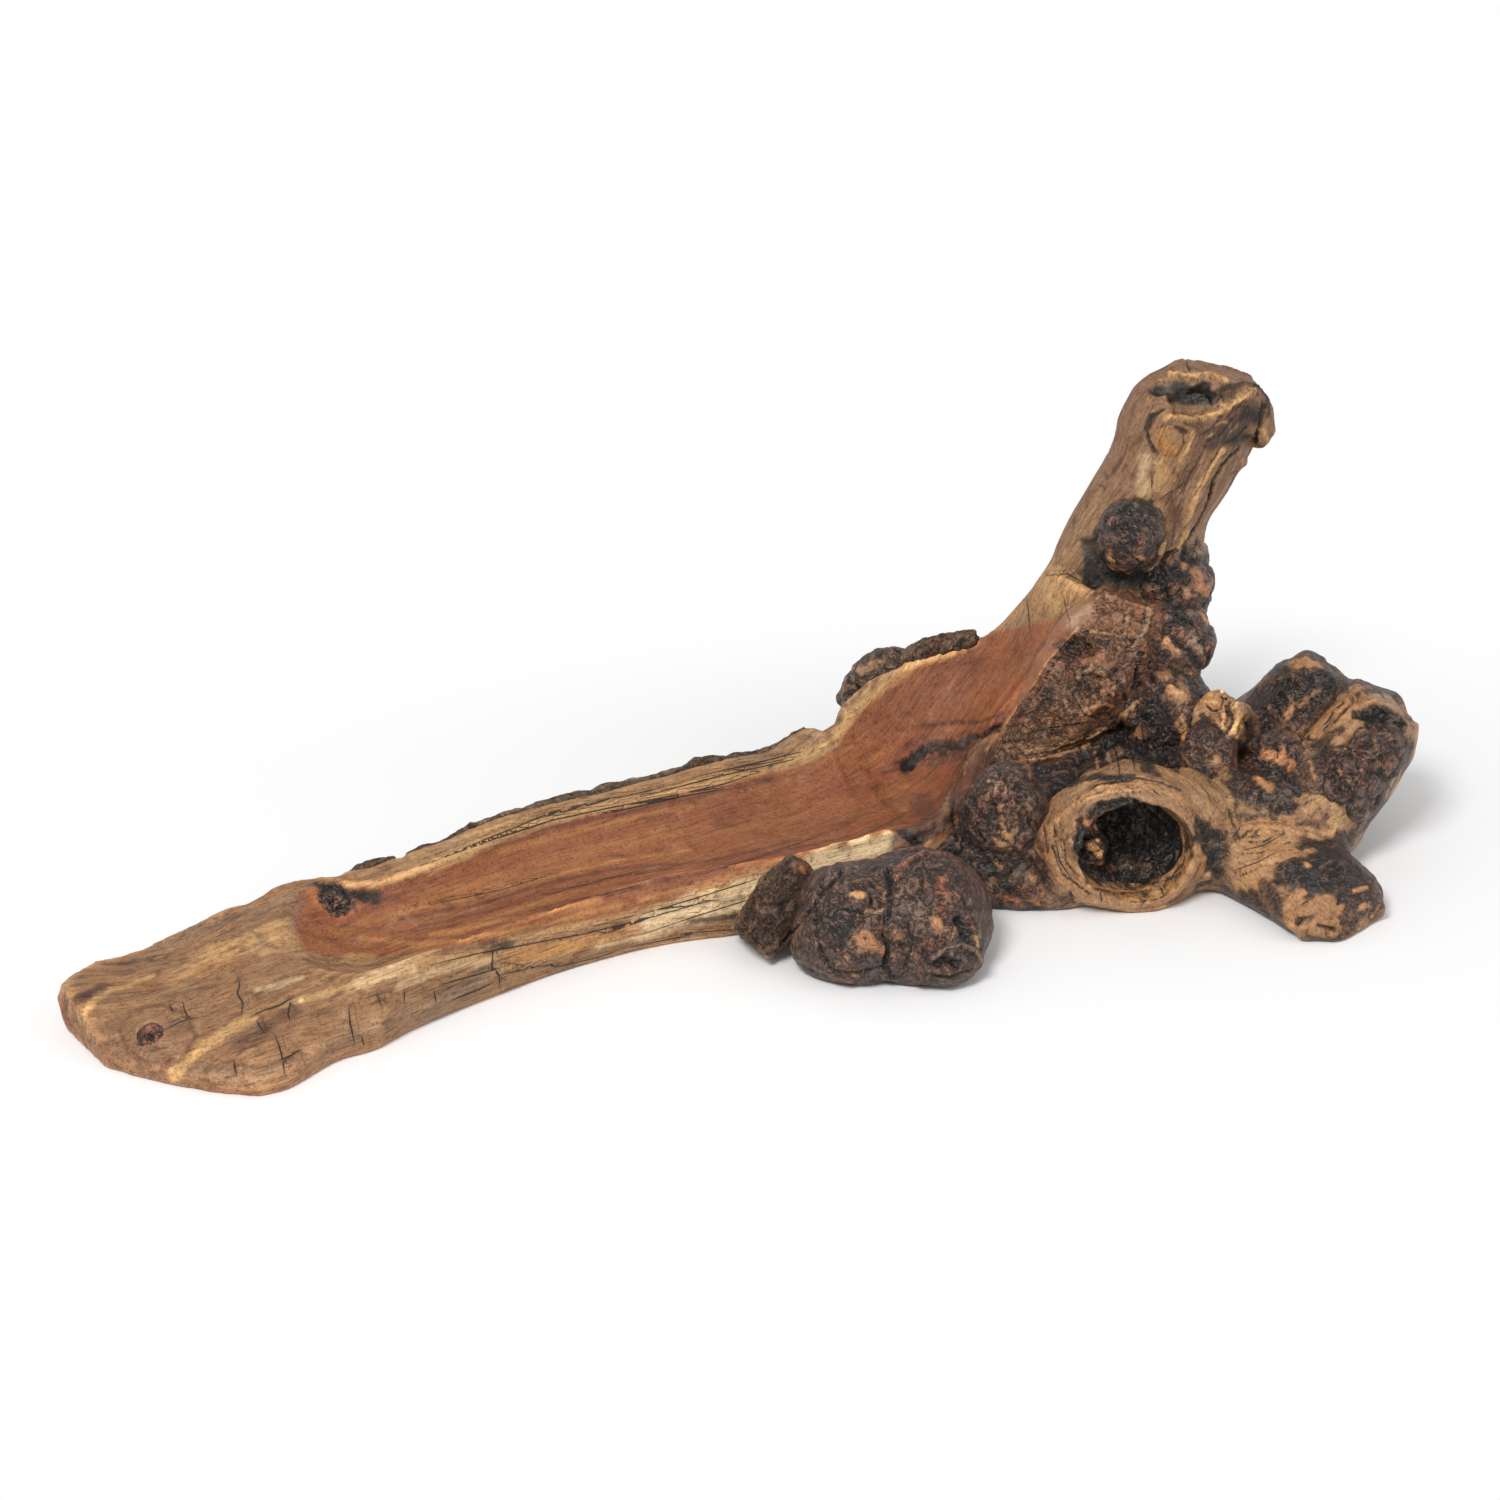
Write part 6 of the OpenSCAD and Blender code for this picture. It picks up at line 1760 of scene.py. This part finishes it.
class Wood(Nodes):
    """Builds one material: the painted tone, broken up by grain, pores and wear, with relief and sheen."""

    def __init__(self, name):
        self.material = bpy.data.materials.new(name)
        super().__init__(self.material)
        self.shader = self.nodes["Principled BSDF"]
        self.place = self.node("ShaderNodeTexCoord").outputs["Object"]
        self.grain = self.painted("grain", "Vector")
        self.tone = self.painted("tone", "Color")
        self.gloss, self.bare = self.painted("gloss"), self.painted("bare")
        self.crack, self.crack_here = self.painted("crack"), self.painted("crack_here")
        self.height = None

    def painted(self, name, output="Fac"):
        return self.node("ShaderNodeAttribute", attribute_name=name).outputs[output]

    def noise(self, vector, stretch, scale=1.0, detail=4.0, rough=0.55, twist=0.0):
        """Noise from 0 to 1 over the vector, stretched per axis."""
        mapping = self.node("ShaderNodeMapping", Scale=stretch)
        self.links.new(vector, mapping.inputs["Vector"])
        node = self.node("ShaderNodeTexNoise", Scale=scale, Detail=detail, Roughness=rough, Distortion=twist)
        self.links.new(mapping.outputs[0], node.inputs["Vector"])
        return node.outputs["Fac"]

    def mix(self, a, b, amount, kind="MIX"):
        node = self.node("ShaderNodeMix", data_type="RGBA", blend_type=kind)
        self.join(amount, node.inputs["Factor"])
        for source, target in ((a, node.inputs["A"]), (b, node.inputs["B"])):
            self.join(source, target)
        return node.outputs["Result"]

    def add_height(self, value, amount):
        piece = self.times(value, amount)
        self.height = piece if self.height is None else self.math("ADD", self.height, piece)

    def finish(self, colour, roughness, depth):
        bump = self.node("ShaderNodeBump", Strength=1.0, Distance=depth * MM)
        self.links.new(self.height, bump.inputs["Height"])
        self.links.new(colour, self.shader.inputs["Base Color"])
        self.links.new(roughness, self.shader.inputs["Roughness"])
        self.links.new(bump.outputs["Normal"], self.shader.inputs["Normal"])
        return self.material


def four(colour):
    return (*[float(c) for c in colour], 1.0)


# what the grain, the pores and the wear lay over the painted tone
STREAK_SHADE, FINE_STREAK_SHADE, STREAK_GLOW = (0.34, 0.27, 0.22), (0.45, 0.37, 0.31), (1.0, 0.68, 0.38)
SWIRL_SHADE, MOTTLE_SHADE, MOTTLE_GLOW = (0.32, 0.25, 0.22), (0.42, 0.35, 0.31), (1.0, 0.62, 0.36)
FLECK_BROWN, FLECK_BLACK, WRINKLE_SHADE = (0.4, 0.2, 0.1), (0.012, 0.01, 0.009), (0.1, 0.075, 0.06)
PORE_SHADE, FINE_SHADE = (0.3, 0.25, 0.22), (0.6, 0.52, 0.46)
EVEN, BUMP_DEPTH = (1, 1, 1), 0.9


def grained_wood(name, streak_depth, swirl, pore, crust=0.0, specular=0.45):
    """Streaks along the grain, swirls, pores and, where it is dark, a flecked and wrinkled crust."""
    w = Wood(name)
    calm = w.window(w.gloss, 0.45, 0.15)
    light = w.node("ShaderNodeRGBToBW")
    w.links.new(w.tone, light.inputs[0])
    rough_skin = w.math("SUBTRACT", 1.0, w.bare)
    rind = w.times(w.math("ADD", w.times(w.window(light.outputs[0], 0.2, 0.07), 0.85), 0.15), crust)
    rind, swirl, pore = w.times(rind, rough_skin), w.times(rough_skin, swirl), w.times(rough_skin, pore)
    streaks = w.times(streak_depth, w.math("ADD", w.times(calm, 0.6), 0.4))
    long_streak = w.noise(w.grain, (0.35, 4.5, 4.5), 1.0, 5.0, 0.6, 0.35)
    fine_streak = w.noise(w.grain, (0.9, 16.0, 16.0), 1.0, 4.0, 0.6, 0.2)
    mottle = w.noise(w.place, EVEN, 130.0, 5.0, 0.65, 0.6)
    fine = w.noise(w.place, EVEN, 900.0, 4.0, 0.65)
    bands = w.noise(w.place, EVEN, 70.0, 3.0, 0.55, 1.6)
    swirls = w.math("PINGPONG", w.times(bands, 14.0), 1.0)
    wrinkled = w.noise(w.place, EVEN, 230.0, 5.0, 0.62, 1.3)
    wrinkle = w.window(w.math("ABSOLUTE", w.math("SUBTRACT", wrinkled, 0.5)), 0.05, 0.0)
    flecks = w.noise(w.place, EVEN, 310.0, 4.0, 0.7, 1.2)
    pores = w.node("ShaderNodeTexVoronoi", Scale=520.0, Randomness=1.0)
    w.links.new(w.place, pores.inputs["Vector"])
    pore_dark = w.window(pores.outputs["Distance"], 0.34, 0.12)
    wander = w.times(w.math("SUBTRACT", fine, 0.5), 2.4)
    line = w.window(w.math("ABSOLUTE", w.math("ADD", w.crack, wander)), 1.35, 0.6)
    line = w.times(line, w.crack_here)
    colour = w.tone
    for shade_by, where, amount, kind in (
            (STREAK_SHADE, w.window(long_streak, 0.5, 0.72), streaks, "MULTIPLY"),
            (FINE_STREAK_SHADE, w.window(fine_streak, 0.5, 0.68), streaks, "MULTIPLY"),
            (STREAK_GLOW, w.window(fine_streak, 0.47, 0.3), w.times(streaks, 0.14), "SCREEN"),
            (SWIRL_SHADE, w.window(swirls, 0.62, 0.98), swirl, "MULTIPLY"),
            (MOTTLE_SHADE, w.window(mottle, 0.52, 0.7), 0.55, "MULTIPLY"),
            (MOTTLE_GLOW, w.window(mottle, 0.46, 0.3), 0.08 + crust * 0.12, "SCREEN"),
            (FLECK_BROWN, w.window(flecks, 0.56, 0.68), w.times(rind, 0.85), "MIX"),
            (FLECK_BLACK, w.window(flecks, 0.42, 0.3), rind, "MIX"),
            (WRINKLE_SHADE, wrinkle, rind, "MULTIPLY"),
            (PORE_SHADE, pore_dark, pore, "MULTIPLY"),
            (FINE_SHADE, w.window(fine, 0.5, 0.66), 0.6, "MULTIPLY"),
            (SOOT_AND_SHADE, line, 0.92, "MIX")):
        colour = w.mix(colour, four(shade_by), w.times(where, amount), kind)
    for relief, amount in (
            (long_streak, 0.9 * streak_depth), (fine_streak, 0.5 * streak_depth),
            (w.times(swirls, swirl), -0.35), (mottle, 0.9), (w.times(wrinkled, rind), 1.0),
            (w.times(wrinkle, rind), -0.8), (w.times(flecks, rind), 1.3), (fine, 0.3),
            (w.times(pore_dark, pore), -0.45), (line, -1.4)):
        w.add_height(relief, amount)
    worn = w.math("ADD", w.times(w.gloss, -0.42), 0.62)
    rough = w.math("ADD", worn, w.times(w.math("SUBTRACT", mottle, 0.5), 0.35), clamp=True)
    w.shader.inputs["Specular IOR Level"].default_value = specular
    return w.finish(colour, rough, BUMP_DEPTH)


MATERIALS = {
    "trunk_wood": grained_wood("trunk_wood", streak_depth=0.75, swirl=0.0, pore=0.35),
    "root_wood": grained_wood("root_wood", streak_depth=0.5, swirl=0.4, pore=0.4, crust=0.5, specular=0.6),
    "burl_wood": grained_wood("burl_wood", streak_depth=0.1, swirl=0.6, pore=0.5, crust=0.75, specular=0.7),
    "bark": grained_wood("bark", streak_depth=0.5, swirl=0.15, pore=0.9, crust=0.4, specular=0.3),
}
for s in skins.values():
    s.done()


FLOOR_HALF, FLOOR_DROP, PAPER_WHITE = 6, 0.0002, 0.97
SHADOW_REACH = (0.26, 0.15)


def make_floor():
    """Paper that keeps the shadow near the object and is plain white beyond it."""
    bm = bmesh.new()
    bmesh.ops.create_grid(bm, x_segments=1, y_segments=1, size=FLOOR_HALF)
    floor = new_object("floor", bm)
    paper = bpy.data.materials.new("floor_paper")
    w = Nodes(paper)
    shader = w.nodes["Principled BSDF"]
    shader.inputs["Base Color"].default_value = (PAPER_WHITE, PAPER_WHITE, PAPER_WHITE, 1)
    shader.inputs["Roughness"].default_value = 0.9
    squeeze = w.node("ShaderNodeMapping", Scale=(1 / SHADOW_REACH[0], 1 / SHADOW_REACH[1], 1))
    w.links.new(w.node("ShaderNodeTexCoord").outputs["Object"], squeeze.inputs["Vector"])
    far = w.node("ShaderNodeVectorMath", operation="LENGTH")
    w.links.new(squeeze.outputs[0], far.inputs[0])
    beyond = w.times(w.window(far.outputs["Value"], 0.8, 1.5), w.seen_by_eye())
    white = w.node("ShaderNodeEmission", Strength=1.0)
    w.show(beyond, shader.outputs[0], white.outputs[0], "Material Output")
    floor.data.materials.append(paper)
    floor.location.z = -FLOOR_DROP


# each lamp: its place, its size and its power
LAMPS = {"key": ((-0.9, -0.9, 1.6), 0.6, 27), "fill": ((1.4, -1.0, 0.9), 1.4, 5)}
LAMPS_AIM = Vector((0, 0, 0.05))


def make_lights():
    world = bpy.data.worlds.new("studio")
    bpy.context.scene.world = world
    w = Nodes(world)
    soft = w.nodes["Background"]
    soft.inputs["Color"].default_value = (1, 1, 1, 1)
    soft.inputs["Strength"].default_value = 0.5
    white = w.node("ShaderNodeBackground", Strength=1.0)
    w.show(w.seen_by_eye(), soft.outputs[0], white.outputs[0], "World Output")
    for name, (place, size, power) in LAMPS.items():
        data = bpy.data.lights.new(name, "AREA")
        data.size, data.energy = size, power
        lamp = bpy.data.objects.new(name, data)
        bpy.context.scene.collection.objects.link(lamp)
        lamp.location = place
        lamp.rotation_euler = (LAMPS_AIM - Vector(place)).to_track_quat("-Z", "Y").to_euler()


make_floor()
make_lights()
bpy.context.scene.view_settings.view_transform = "Standard"
